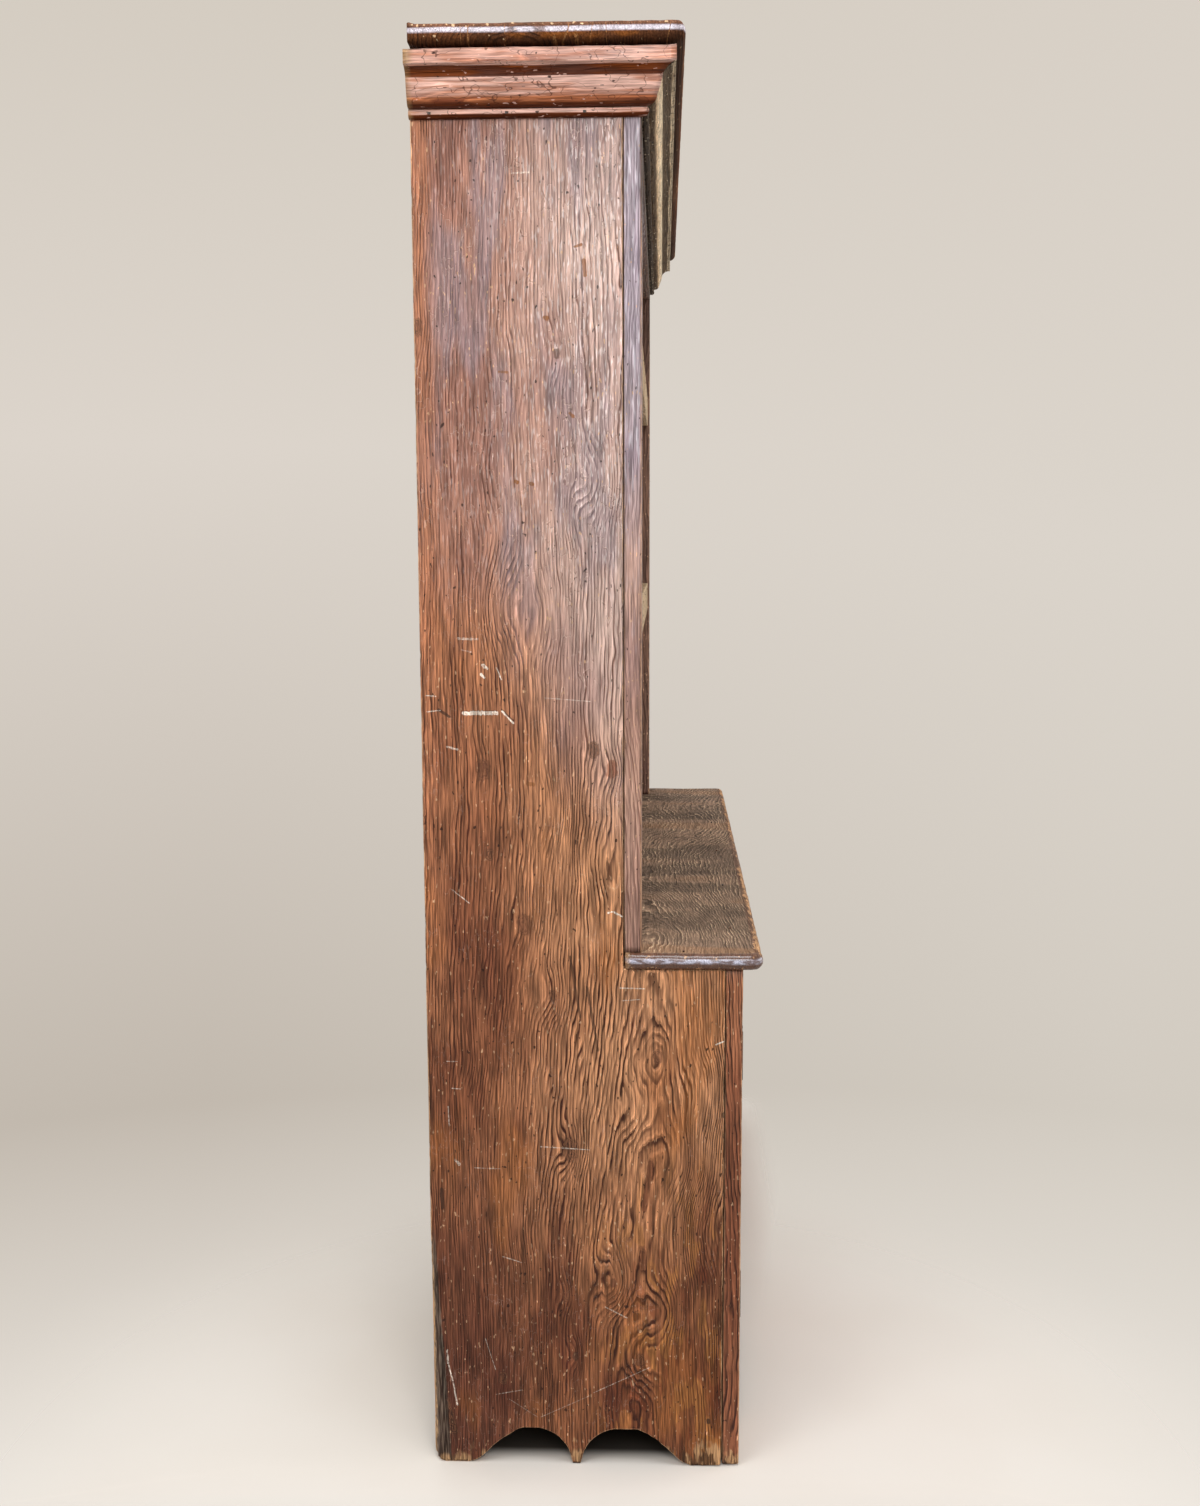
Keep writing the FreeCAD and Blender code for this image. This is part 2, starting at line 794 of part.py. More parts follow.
door_front_depth = S.lower_depth - S.door_recess
door_frame = depths(door_front_depth - S.door_thick, door_front_depth)
door_tenon = middle_of(door_frame, S.tenon_thick)
door_groove = middle_of(door_frame, S.groove_width)
door_x = (stile_edge + S.door_gap, mullion_edge - S.door_gap)
door_z = (opening_bottom + S.door_gap, opening_top - S.door_gap)
field_x = (door_x[0] + S.door_stile_width, door_x[1] - S.door_stile_width)
field_z = (door_z[0] + S.door_bottom_rail, door_z[1] - S.door_top_rail)
knob_x = door_x[1] - S.door_stile_width / 2
knob_z = (door_z[0] + door_z[1]) / 2
lower_tenon_z = (door_z[0] + S.tenon_shoulder, field_z[0] - S.groove_depth)
upper_tenon_z = (field_z[1] + S.groove_depth, door_z[1] - S.tenon_shoulder)
pin_x = stile_edge + S.door_gap / 2
pin_y = lower_face - S.barrel_offset
gain_depth = S.leaf_gap / 2 + S.leaf_thick - S.door_gap / 2


def make_door_stile(name, x, mortise, groove):
    body = new_body(name)
    add_block(body, name + "_blank", x, door_frame, door_z)
    cut_block(body, name + "_lower_mortise", mortise, door_tenon, lower_tenon_z)
    cut_block(body, name + "_upper_mortise", mortise, door_tenon, upper_tenon_z)
    cut_block(body, name + "_groove", groove, door_groove, (lower_tenon_z[1], upper_tenon_z[0]))
    return body


def make_door_rail(name, z, tenon_z, groove_z):
    body = new_body(name)
    add_block(body, name + "_blank", field_x, door_frame, z)
    add_block(body, name + "_tenons", (field_x[0] - S.door_tenon, field_x[1] + S.door_tenon),
              door_tenon, tenon_z)
    cut_block(body, name + "_groove", field_x, door_groove, groove_z)
    return body


def make_panel():
    """A tongue held loose in the grooves, with a bevelled field raised in front of it."""
    reach = S.groove_depth - S.panel_play
    body = new_body("panel")
    add_block(body, "panel_tongue", (field_x[0] - reach, field_x[1] + reach), door_groove,
              (field_z[0] - reach, field_z[1] + reach))
    field = body.newObject("PartDesign::AdditiveWedge", "panel_field")
    spans = {"X": (S.panel_bevel, field_x[1] - field_x[0] - S.panel_bevel),
             "X2": (0, field_x[1] - field_x[0]),
             "Z": (S.panel_bevel, field_z[1] - field_z[0] - S.panel_bevel),
             "Z2": (0, field_z[1] - field_z[0]),
             "Y": (0, S.field_rise)}
    for axis, (low, high) in spans.items():
        bind(field, axis + "max", high)
        bind(field, axis + "min", low)
    place(field, field_x[0], door_groove[0] - S.field_rise, field_z[0])
    return body


def make_knob():
    """A turned knob with a tenon glued into the lock stile."""
    body = new_body("knob")
    sketch = new_sketch(body, "knob_profile", "XY_Plane")
    draw_outline(sketch, [
        (0, -S.knob_reach, S.knob_dome_bow),
        (S.knob_radius, S.knob_dome - S.knob_reach, S.knob_dome_bow),
        (S.knob_neck, -S.knob_neck_length, -S.knob_neck_bow),
        (S.knob_flange, 0),
        (S.knob_tenon_radius, 0),
        (S.knob_tenon_radius, S.knob_tenon_length),
        (0, S.knob_tenon_length),
    ])
    turned = body.newObject("PartDesign::Revolution", "knob_turned")
    turned.Profile = sketch
    turned.ReferenceAxis = (sketch, ["V_Axis"])
    turned.Angle = 360
    place(body, knob_x, door_frame[0], knob_z)
    return body


def make_door_pegs():
    pegs = []
    for x in (field_x[0] - S.peg_inset, field_x[1] + S.peg_inset):
        for z in ((lower_tenon_z[0] + lower_tenon_z[1]) / 2,
                  (upper_tenon_z[0] + upper_tenon_z[1]) / 2):
            pegs.append(cylinder("door_peg", S.peg_radius, S.door_thick + S.peg_proud,
                                 x, door_frame[1], z, FORWARD))
    return group("door_pegs", pegs)


def make_doors():
    hinge_stile_x = (door_x[0], field_x[0])
    lock_stile_x = (field_x[1], door_x[1])
    hinge_stile = make_door_stile("hinge_stile", hinge_stile_x,
                                  (field_x[0] - S.door_tenon, field_x[0]),
                                  (field_x[0] - S.groove_depth, field_x[0]))
    for name, span in hinge_spans().items():
        cut_block(hinge_stile, name + "_door_gain", (door_x[0], door_x[0] + gain_depth),
                  depths(S.lower_depth - S.leaf_width, S.lower_depth), span)
    lock_stile = make_door_stile("lock_stile", lock_stile_x,
                                 (field_x[1], field_x[1] + S.door_tenon),
                                 (field_x[1], field_x[1] + S.groove_depth))
    cut_bore(lock_stile, "knob_hole", S.knob_tenon_radius, S.knob_tenon_length,
             knob_x, door_frame[0] + S.knob_tenon_length, knob_z)
    leaves, screws = make_hinge_side("door", 1, range(1, KNUCKLE_COUNT, 2))
    parts = {
        "hinge_stile": hinge_stile,
        "lock_stile": lock_stile,
        "top_rail": make_door_rail("door_top_rail", (field_z[1], door_z[1]), upper_tenon_z,
                                   (field_z[1], upper_tenon_z[0])),
        "bottom_rail": make_door_rail("door_bottom_rail", (door_z[0], field_z[0]), lower_tenon_z,
                                      (lower_tenon_z[1], field_z[0])),
        "panel": make_panel(),
        "pegs": make_door_pegs(),
        "knob": make_knob(),
        "hinge_leaves": group("door_leaves", leaves),
        "screws": group("door_screws", screws),
    }
    for name, item in parts.items():
        keep_pair("left_door_" + name, "right_door_" + name, item)


# --- the hinges ---------------------------------------------------------------------------

def make_leaf(name, side, span, own_knuckles):
    """One leaf of a butt hinge: side is -1 on the case, 1 on the door."""
    pitch = S.hinge_height / KNUCKLE_COUNT
    near = pin_x + S.leaf_gap / 2 * side
    far = near + S.leaf_thick * side
    plate_x = (near, far) if side > 0 else (far, near)
    plate = board(name + "_plate", plate_x, (pin_y, at_depth(S.lower_depth - S.leaf_width)), span)
    reliefs = []
    knuckles = []
    for index in range(KNUCKLE_COUNT):
        low = span[0] + pitch * index
        if index in own_knuckles:
            knuckles.append(cylinder(name + "_knuckle", S.barrel_radius,
                                     pitch - S.knuckle_clearance, pin_x, pin_y,
                                     low + S.knuckle_clearance / 2))
        else:
            reliefs.append(cylinder(name + "_relief", S.barrel_radius + S.barrel_clearance,
                                    pitch + S.knuckle_clearance, pin_x, pin_y,
                                    low - S.knuckle_clearance / 2))
    relieved = difference(name + "_relieved", plate, reliefs)
    rolled = union(name + "_rolled", [relieved] + knuckles)
    holes = [cylinder(name + "_bore", S.pin_radius + S.running_clearance, S.hinge_height,
                      pin_x, pin_y, span[0])]
    turn = TO_RIGHT if side > 0 else TO_LEFT
    screws = []
    for index in range(LEAF_SCREW_COUNT):
        z = between(span[0], span[1], (index + 0.5) / LEAF_SCREW_COUNT)
        y = lower_face + (S.near_screw_inset if index % 2 else S.far_screw_inset)
        holes.append(cone(name + "_hole", S.wood_screw_head + S.wood_screw_play,
                          S.wood_screw_shank + S.wood_screw_play, S.leaf_thick, near, y, z, turn))
        head = cone(name + "_head", S.wood_screw_head, S.wood_screw_shank, S.leaf_thick,
                    near, y, z, turn)
        shank = cone(name + "_shank", S.wood_screw_shank, S.wood_screw_tip, S.wood_screw_length,
                     far, y, z, turn)
        screws.append(union(name + "_screw", [head, shank]))
    return difference(name, rolled, holes), screws


def make_hinge_side(name, side, own_knuckles):
    leaves = []
    screws = []
    for level, span in hinge_spans().items():
        leaf, leaf_screws = make_leaf(f"{name}_{level}_leaf", side, span, own_knuckles)
        leaves.append(leaf)
        screws += leaf_screws
    return leaves, screws


def make_case_hinges():
    leaves, screws = make_hinge_side("case", -1, range(0, KNUCKLE_COUNT, 2))
    pins = []
    for level, span in hinge_spans().items():
        stem = cylinder(level + "_stem", S.pin_radius, S.hinge_height, pin_x, pin_y, span[0])
        head = cylinder(level + "_head", S.pin_head_radius, S.pin_head_height,
                        pin_x, pin_y, span[1])
        pins.append(union(level + "_pin", [stem, head]))
    for name, items in (("hinge_leaves_case", leaves), ("hinge_screws_case", screws),
                        ("hinge_pins", pins)):
        one_side = group(name + "_left", items)
        keep(group(name + "_both", [one_side, mirror(name + "_right", one_side)]), name)


# --- the turn button ----------------------------------------------------------------------

def make_turn_button():
    """A wooden button on the mullion, upright when it lets the doors open."""
    rear = lower_face - S.button_clearance
    front = rear - S.button_thick
    straight = S.button_reach - S.button_end_bow
    body = new_body("turn_button")
    pad_outline(body, "button", "XZ_Plane", [
        (-S.button_half_width, S.button_height - straight, S.button_end_bow),
        (S.button_half_width, S.button_height - straight),
        (S.button_half_width, S.button_height + straight, S.button_end_bow),
        (-S.button_half_width, S.button_height + straight),
    ], (front, rear))
    round_edges(body, "button_rounding", S.button_round,
                lambda edge, middle: middle.y < front.number + NEAR)
    cut_bore(body, "button_hole", S.screw_radius + S.running_clearance, S.button_thick,
             0, rear, S.button_height)
    keep(body, "turn_button")
    shank_length = S.screw_depth + S.button_clearance * 2 + S.button_thick
    shank = cylinder("button_shank", S.screw_radius, shank_length,
                     0, lower_face + S.screw_depth, S.button_height, FORWARD)
    head = cylinder("button_head", S.screw_head_radius, S.screw_head_thick,
                    0, front - S.button_clearance, S.button_height, FORWARD)
    keep(union("button_screw_whole", [shank, head]), "button_screw")


# --- pegs and nails -----------------------------------------------------------------------

def make_frame_pegs():
    """Pegs through the tenons of both front frames, flush where the crown covers them."""
    def peg(frame, x, z, proud=S.peg_proud):
        return cylinder("frame_peg", S.peg_radius, S.frame_thick + proud,
                        x, frame[1], z, FORWARD)

    upper_x = left + S.upper_stile_width - S.peg_inset
    lower_x = stile_edge - S.peg_inset
    apron_z = (S.arch_height + S.apron_height) / 2
    sides = [peg(upper_frame, upper_x, top_underside - S.frieze_height / 2, 0),
             peg(lower_frame, lower_x, opening_top + S.top_rail_height / 2),
             peg(lower_frame, lower_x, apron_z)]
    middle = [peg(lower_frame, 0, opening_top + S.peg_inset),
              peg(lower_frame, 0, opening_bottom - S.peg_inset)]
    keep(group("frame_pegs_all", sides + [mirror("peg_twin", item) for item in sides] + middle),
         "frame_pegs")


def nail(x, y, z, rotation, proud=S.nail_proud, length=S.nail_length):
    """A cut nail, driven along the rotated Y axis from a head that stands proud of the wood."""
    item = doc.addObject("Part::Wedge", "nail")
    half_tip = S.nail_tip / 2
    spans = {"X": (-S.nail_head / 2, S.nail_head / 2), "X2": (-half_tip, half_tip),
             "Z": (-S.nail_width / 2, S.nail_width / 2), "Z2": (-half_tip, half_tip),
             "Y": (-proud, length)}
    for axis, (low, high) in spans.items():
        bind(item, axis + "max", high)
        bind(item, axis + "min", low)
    place(item, x, y, z, rotation)
    return item


def shares(count):
    """Evenly spread places along a length, with half a step left at each end."""
    return [(index + 0.5) / count for index in range(count)]


def brad(x, y, z, rotation):
    """A short nail for thin trim."""
    return nail(x, y, z, rotation, length=S.brad_length)


def make_cornice_nails():
    """Nails in the crown and down through the top board, and brads in the bead."""
    face = (S.crown_swell_top + S.crown_swell_foot) / 2
    crown_z = (crown_bottom + S.crown_foot_rise + crown_top
               - S.crown_fillet_height - S.crown_cove_rise) / 2
    bead_z = crown_bottom - S.bead_height / 2
    front = []
    side = []
    for share in shares(CROWN_FRONT_NAIL_COUNT):
        x = between(left, right, share)
        front.append(nail(x, upper_face - face, crown_z, NAIL_BACKWARD))
        front.append(brad(x + S.side_thick, upper_face - S.bead_projection, bead_z, NAIL_BACKWARD))
        front.append(nail(x, at_depth(S.upper_depth - S.frame_thick / 2), S.total_height,
                          NAIL_DOWN, 0))
    for share in shares(CROWN_SIDE_NAIL_COUNT):
        y = between(upper_face, back, share)
        side.append(nail(left - face, y, crown_z, NAIL_TO_RIGHT))
        side.append(brad(left - S.bead_projection, y + S.side_thick, bead_z, NAIL_TO_RIGHT))
        side.append(nail(left + S.side_thick / 2, y, S.total_height, NAIL_DOWN, 0))
    keep(group("cornice_nails_all", front + side + [mirror("nail_twin", item) for item in side]),
         "cornice_nails")


def make_case_nails():
    """Nails through the frames into the sides, the lips into the shelves, and the counter."""
    side = []
    middle = []
    x = left + S.side_thick / 2
    for share in shares(STILE_NAIL_COUNT):
        side.append(nail(x, upper_face, between(S.counter_height, crown_bottom, share),
                         NAIL_BACKWARD))
        side.append(nail(x, lower_face, between(S.arch_height, counter_underside, share),
                         NAIL_BACKWARD))
    side.append(nail(x, at_depth((upper_side_depth + S.lower_depth) / 2), S.counter_height,
                     NAIL_DOWN))
    lip_face = at_depth(S.upper_depth - S.lip_setback)
    for share in shares(LIP_NAIL_COUNT):
        x = between(left, right, share)
        for height in shelf_heights.values():
            middle.append(nail(x, lip_face, height - S.shelf_thick / 2, NAIL_BACKWARD))
    for share in shares(COUNTER_NAIL_COUNT):
        middle.append(nail(between(left, right, share), at_depth(S.lower_depth - S.frame_thick / 2),
                           S.counter_height, NAIL_DOWN))
    keep(group("case_nails_all", middle + side + [mirror("nail_twin", item) for item in side]),
         "case_nails")


def make_backboard_nails():
    """Two nails in each backboard at each shelf, and at the counter."""
    half_shelf = S.shelf_thick / 2
    heights = [height - half_shelf for height in shelf_heights.values()]
    heights += [S.counter_height - S.counter_thick / 2, opening_bottom - half_shelf]
    low = inner_left - S.rabbet_width
    high = inner_right + S.rabbet_width
    nails = []
    for index in range(BACKBOARD_COUNT):
        for share in shares(BACKBOARD_NAIL_COUNT):
            x = between(low, high, (index + share) / BACKBOARD_COUNT)
            nails += [nail(x, at_depth(S.back_recess), z, NAIL_FORWARD) for z in heights]
    keep(group("backboard_nails_all", nails), "backboard_nails")


# --- check and write ----------------------------------------------------------------------

def check_and_write():
    doc.recompute()
    for item in doc.Objects:
        if "Invalid" in item.State or "Error" in item.State:
            raise RuntimeError(f"{item.Label} failed: {item.State}")
    os.makedirs("parts", exist_ok=True)
    for item in pieces:
        if item.Shape.isNull() or not item.Shape.isValid() or not item.Shape.Solids:
            raise RuntimeError(f"{item.Label} has no valid solid")
        item.Shape.exportStep(f"parts/{item.Label}.step")
        print(item.Label, len(item.Shape.Solids), round(item.Shape.Volume))
    print(len(pieces), "nodes")


make_side()
make_shelves()
make_backboards()
make_counter()
make_top_board()
make_moulding("crown", crown_outline, S.crown_projection)
make_moulding("bead", bead_outline, S.bead_projection)
make_upper_frame()
make_lower_frame()
make_door_stop()
make_case_hinges()
make_doors()
make_turn_button()
make_frame_pegs()
make_cornice_nails()
make_case_nails()
make_backboard_nails()
check_and_write()
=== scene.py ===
"""The looks of the step back cupboard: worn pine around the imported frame. Metres."""

import math
import random

import bmesh
import bpy
import numpy as np
from mathutils import Matrix, Vector, noise


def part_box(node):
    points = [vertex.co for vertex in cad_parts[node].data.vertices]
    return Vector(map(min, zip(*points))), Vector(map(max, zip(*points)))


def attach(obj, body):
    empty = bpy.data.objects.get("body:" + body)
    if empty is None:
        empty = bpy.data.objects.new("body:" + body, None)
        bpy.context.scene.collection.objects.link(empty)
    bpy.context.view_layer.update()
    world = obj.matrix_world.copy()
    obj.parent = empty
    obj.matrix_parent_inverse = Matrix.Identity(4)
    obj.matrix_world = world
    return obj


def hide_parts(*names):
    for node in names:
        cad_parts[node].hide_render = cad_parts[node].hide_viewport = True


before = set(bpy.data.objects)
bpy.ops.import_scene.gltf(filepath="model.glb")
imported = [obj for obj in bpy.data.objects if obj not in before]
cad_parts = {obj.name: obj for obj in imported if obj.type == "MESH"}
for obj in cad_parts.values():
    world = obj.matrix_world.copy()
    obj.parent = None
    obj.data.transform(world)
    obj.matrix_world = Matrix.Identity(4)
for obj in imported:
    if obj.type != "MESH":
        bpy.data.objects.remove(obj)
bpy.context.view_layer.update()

X, Y, Z = Vector((1, 0, 0)), Vector((0, 1, 0)), Vector((0, 0, 1))
MM = 0.001


# --- the camera ---

def look_from(place, yaw, pitch, roll, lens):
    """A camera that looks along +X, then turns right, down and round its own axis."""
    forward = math.cos(yaw) * X - math.sin(yaw) * Y
    right = -math.sin(yaw) * X - math.cos(yaw) * Y
    down = math.cos(pitch) * forward - math.sin(pitch) * Z
    up = math.sin(pitch) * forward + math.cos(pitch) * Z
    turned_right = math.cos(roll) * right + math.sin(roll) * up
    turned_up = -math.sin(roll) * right + math.cos(roll) * up
    data = bpy.data.cameras.new("camera")
    data.lens = lens
    data.sensor_width = 36
    data.clip_start = 0.05
    camera = bpy.data.objects.new("camera", data)
    axes = Matrix((turned_right, turned_up, -down)).transposed().to_4x4()
    camera.matrix_world = Matrix.Translation(place) @ axes
    bpy.context.scene.collection.objects.link(camera)
    bpy.context.scene.camera = camera


look_from(Vector((-2.915, -0.0963, 1.3841)), yaw=-0.0398, pitch=0.136, roll=-0.0031, lens=36.84)
bpy.context.scene.view_settings.view_transform = "Standard"


# --- shader graphs ---

def linear(red, green, blue):
    """The shader's linear colour for an sRGB colour of 0 to 255."""
    def channel(level):
        level /= 255
        return level / 12.92 if level <= 0.04045 else ((level + 0.055) / 1.055) ** 2.4
    return (channel(red), channel(green), channel(blue), 1)


def arithmetic(operation, swapped=False):
    """The method of Value for one arithmetic sign."""
    def method(self, other):
        first, second = (other, self) if swapped else (self, other)
        return self.graph.math(operation, first, second)
    return method


class Value:
    """A number or vector on its way through a shader graph."""

    def __init__(self, graph, socket):
        self.graph = graph
        self.socket = socket

    __add__, __radd__ = arithmetic("ADD"), arithmetic("ADD", True)
    __sub__, __rsub__ = arithmetic("SUBTRACT"), arithmetic("SUBTRACT", True)
    __mul__, __rmul__ = arithmetic("MULTIPLY"), arithmetic("MULTIPLY", True)
    __truediv__ = arithmetic("DIVIDE")

    def __abs__(self):
        return self.graph.math("ABSOLUTE", self)


class Graph:
    """The node tree of a material or of the world."""

    def __init__(self, owner):
        owner.use_nodes = True
        self.owner = owner
        self.tree = owner.node_tree
        self.tree.nodes.clear()

    def add(self, kind, **settings):
        """A new node; settings name its properties."""
        node = self.tree.nodes.new(kind)
        for name, value in settings.items():
            setattr(node, name, value)
        return node

    def put(self, socket, value):
        """Link a value of the graph to the socket, or set a plain one on it."""
        if isinstance(value, Value):
            self.tree.links.new(socket, value.socket)
        else:
            socket.default_value = value

    def shader(self, kind, **inputs):
        """A shader node; inputs name its sockets, with _ for each space."""
        node = self.add(kind)
        for name, value in inputs.items():
            self.put(node.inputs[name.replace("_", " ")], value)
        return node

    def blend(self, share, first, second):
        """The first shader where the share is 0, the second where it is 1."""
        node = self.add("ShaderNodeMixShader")
        self.put(node.inputs[0], share)
        for index, source in ((1, first), (2, second)):
            self.tree.links.new(node.inputs[index], source.outputs[0])
        return node

    def output(self, kind, shader):
        self.tree.links.new(self.add(kind).inputs["Surface"], shader.outputs[0])

    def math(self, operation, first, second=0.0, clamp=False):
        node = self.add("ShaderNodeMath", operation=operation, use_clamp=clamp)
        self.put(node.inputs[0], first)
        self.put(node.inputs[1], second)
        return Value(self, node.outputs[0])

    def vector_math(self, operation, *values, scale=None):
        node = self.add("ShaderNodeVectorMath", operation=operation)
        for socket, value in zip(node.inputs, values):
            self.put(socket, value)
        if scale is not None:
            self.put(node.inputs["Scale"], scale)
        return Value(self, node.outputs["Value" if operation == "DISTANCE" else "Vector"])

    def attribute(self, name, output="Vector"):
        return Value(self, self.add("ShaderNodeAttribute", attribute_name=name).outputs[output])

    def place(self, output="Object"):
        """The place in the row frame, which turns with a moving piece."""
        return Value(self, self.add("ShaderNodeTexCoord").outputs[output])

    def parts(self, vector):
        node = self.add("ShaderNodeSeparateXYZ")
        self.put(node.inputs[0], vector)
        return [Value(self, socket) for socket in node.outputs]

    def noise(self, vector, stretch, detail=1.0, offset=0.0, rough=0.5):
        """Noise of about 0.2 to 0.8, with this many waves a metre along each axis."""
        moved = self.vector_math("MULTIPLY_ADD", vector, stretch, (offset, offset, offset))
        node = self.add("ShaderNodeTexNoise")
        self.put(node.inputs["Vector"], moved)
        node.inputs["Scale"].default_value = 1
        node.inputs["Detail"].default_value = detail
        node.inputs["Roughness"].default_value = rough
        return Value(self, node.outputs[0])

    def smooth(self, value, low, high, bottom=0.0, top=1.0, kind="SMOOTHSTEP"):
        """A soft step from bottom to top while the value goes from low to high."""
        node = self.add("ShaderNodeMapRange", interpolation_type=kind)
        for name, number in (("Value", value), ("From Min", low), ("From Max", high),
                             ("To Min", bottom), ("To Max", top)):
            self.put(node.inputs[name], number)
        return Value(self, node.outputs[0])

    def mix(self, share, first, second):
        """A blend of two colours, each of them of the graph or sRGB of 0 to 255."""
        node = self.add("ShaderNodeMix", data_type="RGBA")
        for index, value in ((0, share), (6, first), (7, second)):
            self.put(node.inputs[index], linear(*value) if isinstance(value, tuple) else value)
        return Value(self, node.outputs[2])

    def surface(self, colour, rough, height, relief, **more):
        """Finish a material: its colour, roughness and a relief of so many metres."""
        bump = self.shader("ShaderNodeBump", Height=height, Distance=relief, Strength=1.0)
        shader = self.shader("ShaderNodeBsdfPrincipled", Base_Color=colour, Roughness=rough,
                             Normal=Value(self, bump.outputs[0]), **more)
        self.output("ShaderNodeOutputMaterial", shader)
        return self.owner

    def mark(self, layer, y, z, ragged):
        """The mark that a face carries in a layer: its share, its colour and its rings."""
        y0, z0, half = self.parts(self.attribute(layer + "_start"))
        y1, z1, strength = self.parts(self.attribute(layer + "_end"))
        run_y, run_z = y1 - y0, z1 - z0
        off_y, off_z = y - y0, z - z0
        length = run_y * run_y + run_z * run_z + 1e-9
        share = self.math("DIVIDE", off_y * run_y + off_z * run_z, length, clamp=True)
        off_y, off_z = off_y - run_y * share, off_z - run_z * share
        distance = self.math("SQRT", off_y * off_y + off_z * off_z)
        level = 1 - distance / (half + 1e-6) + ragged
        wave = abs(self.math("FRACT", level * 2.6) - 0.5)
        rings = self.smooth(wave, 0.12, 0.34) * self.smooth(half, 0.0045, 0.0065)
        colour = self.attribute(layer + "_colour")
        return self.smooth(level, 0.0, 0.3) * strength, colour, rings


def material_graph(name):
    """The graph of a new material."""
    return Graph(bpy.data.materials.new(name))


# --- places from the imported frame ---

box = {name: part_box(name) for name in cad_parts}
side_low, side_high = box["side_left"]
upper_face, upper_back = box["upper_stile_left"][0].y, box["upper_stile_left"][1].y
frame_edge = box["lower_stile_left"][1].y
step_z = box["counter"][0].z
inner_x = side_high.x
rear_y = box["backboard_1"][0].y
foot_z = box["backboard_1"][0].z
top_middle = (box["top_board"][0].z + box["top_board"][1].z) / 2
crown_z = box["crown_left"][0].z
SWELL_TOP, COVE_TOP = 0.0355, 0.0470
# The dark of worm holes and dents, and of the painted shade in creases.
HOLE_AND_CREASE_DARK = (44, 26, 20)


# --- wood ---

class Pine:
    """Growth rings, fibres and patches that every wooden surface starts from.

    The attribute "grain" holds the place in the log: across the board, along the grain, and
    the depth from the heart. The attribute "edge" holds the wear at an arris, end grain and
    the painted shade in creases, and "bend" the metres by which knots push the rings aside.
    """

    def __init__(self, name, spacing=0.005, swirl=1.0):
        self.graph = g = material_graph(name)
        self.colour = None
        self.grain = g.attribute("grain")
        self.wear, self.end, self.crease_shade = g.parts(g.attribute("edge"))
        slow = self.noise(2.2, 0.75, detail=1.5)
        turn = self.noise(3.1, 1.3, detail=1.5, offset=17)
        wave = self.noise(24, 4.5, detail=2, offset=5)
        kink = self.noise(85, 21, detail=1.5, offset=31)
        across, _, depth = g.parts(self.grain)
        across = across + (slow - 0.5) * 0.16 * swirl
        depth = depth + (turn - 0.5) * 0.11 * swirl
        radius = g.math("SQRT", across * across + depth * depth)
        radius = radius + (wave - 0.5) * 0.011 * swirl + (kink - 0.5) * 0.0062 * swirl
        rings = (radius + g.attribute("bend", "Fac")) / spacing
        share = g.math("FRACT", rings)
        number = g.math("FLOOR", rings)
        hashed = g.math("FRACT", g.math("SINE", number * 12.9898) * 43758.5)
        fade = g.smooth(self.noise(70, 13, detail=2, offset=47), 0.34, 0.60, 0.3, 1.0)
        self.late = (g.smooth(share, 0.44, 0.80) * (1 - g.smooth(share, 0.90, 0.97))
                     * (0.4 + hashed * 0.6) * fade)
        self.ridge = g.smooth(share, 0.0, 0.10) * (1 - g.smooth(share, 0.14, 0.34)) * fade
        self.fibre = self.noise(450, 18, detail=2, offset=3, rough=0.6)
        self.streak = self.noise(170, 8, offset=23)
        self.patch = self.noise(8, 3.4, detail=3, offset=11, rough=0.6)
        self.spot = self.noise(330, 110, offset=29)

    def noise(self, across, along, deep=None, **more):
        """Noise by the waves a metre across the grain, along it and, if other, in depth."""
        return self.graph.noise(self.grain, (across, along, deep or across), **more)

    def body(self, early, late, tint, contrast):
        """The bare wood: early wood, late wood and a slow change of tint."""
        g = self.graph
        colour = g.mix(g.smooth(self.patch, 0.38, 0.66), early, tint)
        dark = self.late * contrast * g.smooth(self.fibre, 0.25, 0.52, 0.35, 1.0)
        return g.mix(dark, colour, late)

    def roughness(self, low, high):
        return self.graph.smooth(self.patch, 0.3, 0.7, low, high)

    def paint(self, share, ink):
        """Lay a colour over the one so far, by its share of each spot."""
        self.colour = self.graph.mix(share, self.colour, ink)

    def finish(self, rough, gloss, bump=0.0011, coat=0.0, contrast=1.0):
        """Fibre streaks over the colour, a painted highlight on each ring's ridge, and the relief of
        the rings and the fibres.
        """
        g = self.graph
        streaks = g.smooth(self.fibre, 0.30, 0.70, 1 - 0.36 * contrast, 1 + 0.24 * contrast)
        bands = g.smooth(self.streak, 0.3, 0.7, 1 - 0.12 * contrast, 1 + 0.12 * contrast)
        # A painted highlight on the early wood just after each late-wood line.
        painted_highlight = 1 + self.ridge * 0.3 * contrast
        shaded = g.vector_math("SCALE", self.colour, scale=streaks * bands * painted_highlight)
        height = self.ridge * 0.5 - self.late * 0.4 + self.fibre * 1.1 + self.spot * 0.4
        return g.surface(shaded, rough, height, bump, Specular_IOR_Level=gloss, Coat_Weight=coat,
                         Coat_Roughness=0.2)

    def worn(self, pale, amount=0.75, more=0.0):
        """Pale bare wood where an arris has been rubbed, broken up by the grain."""
        rub = self.wear * (1 + more) + (self.spot - 0.5) * 1.1 + (self.patch - 0.5) * 1.3
        self.paint(self.graph.smooth(rub, 0.66, 0.98) * amount, pale)

    def specks(self, dark, pale, more=0.0):
        """Worm holes and dents, and short pale nicks; more raises the number of nicks."""
        g = self.graph
        holes = self.noise(250, 120, detail=0, offset=61)
        nicks = self.noise(260, 95, offset=73) + more
        self.paint(g.smooth(holes, 0.80, 0.82) * 0.85, dark)
        self.paint(g.smooth(nicks, 0.70, 0.735) * 0.7, pale)


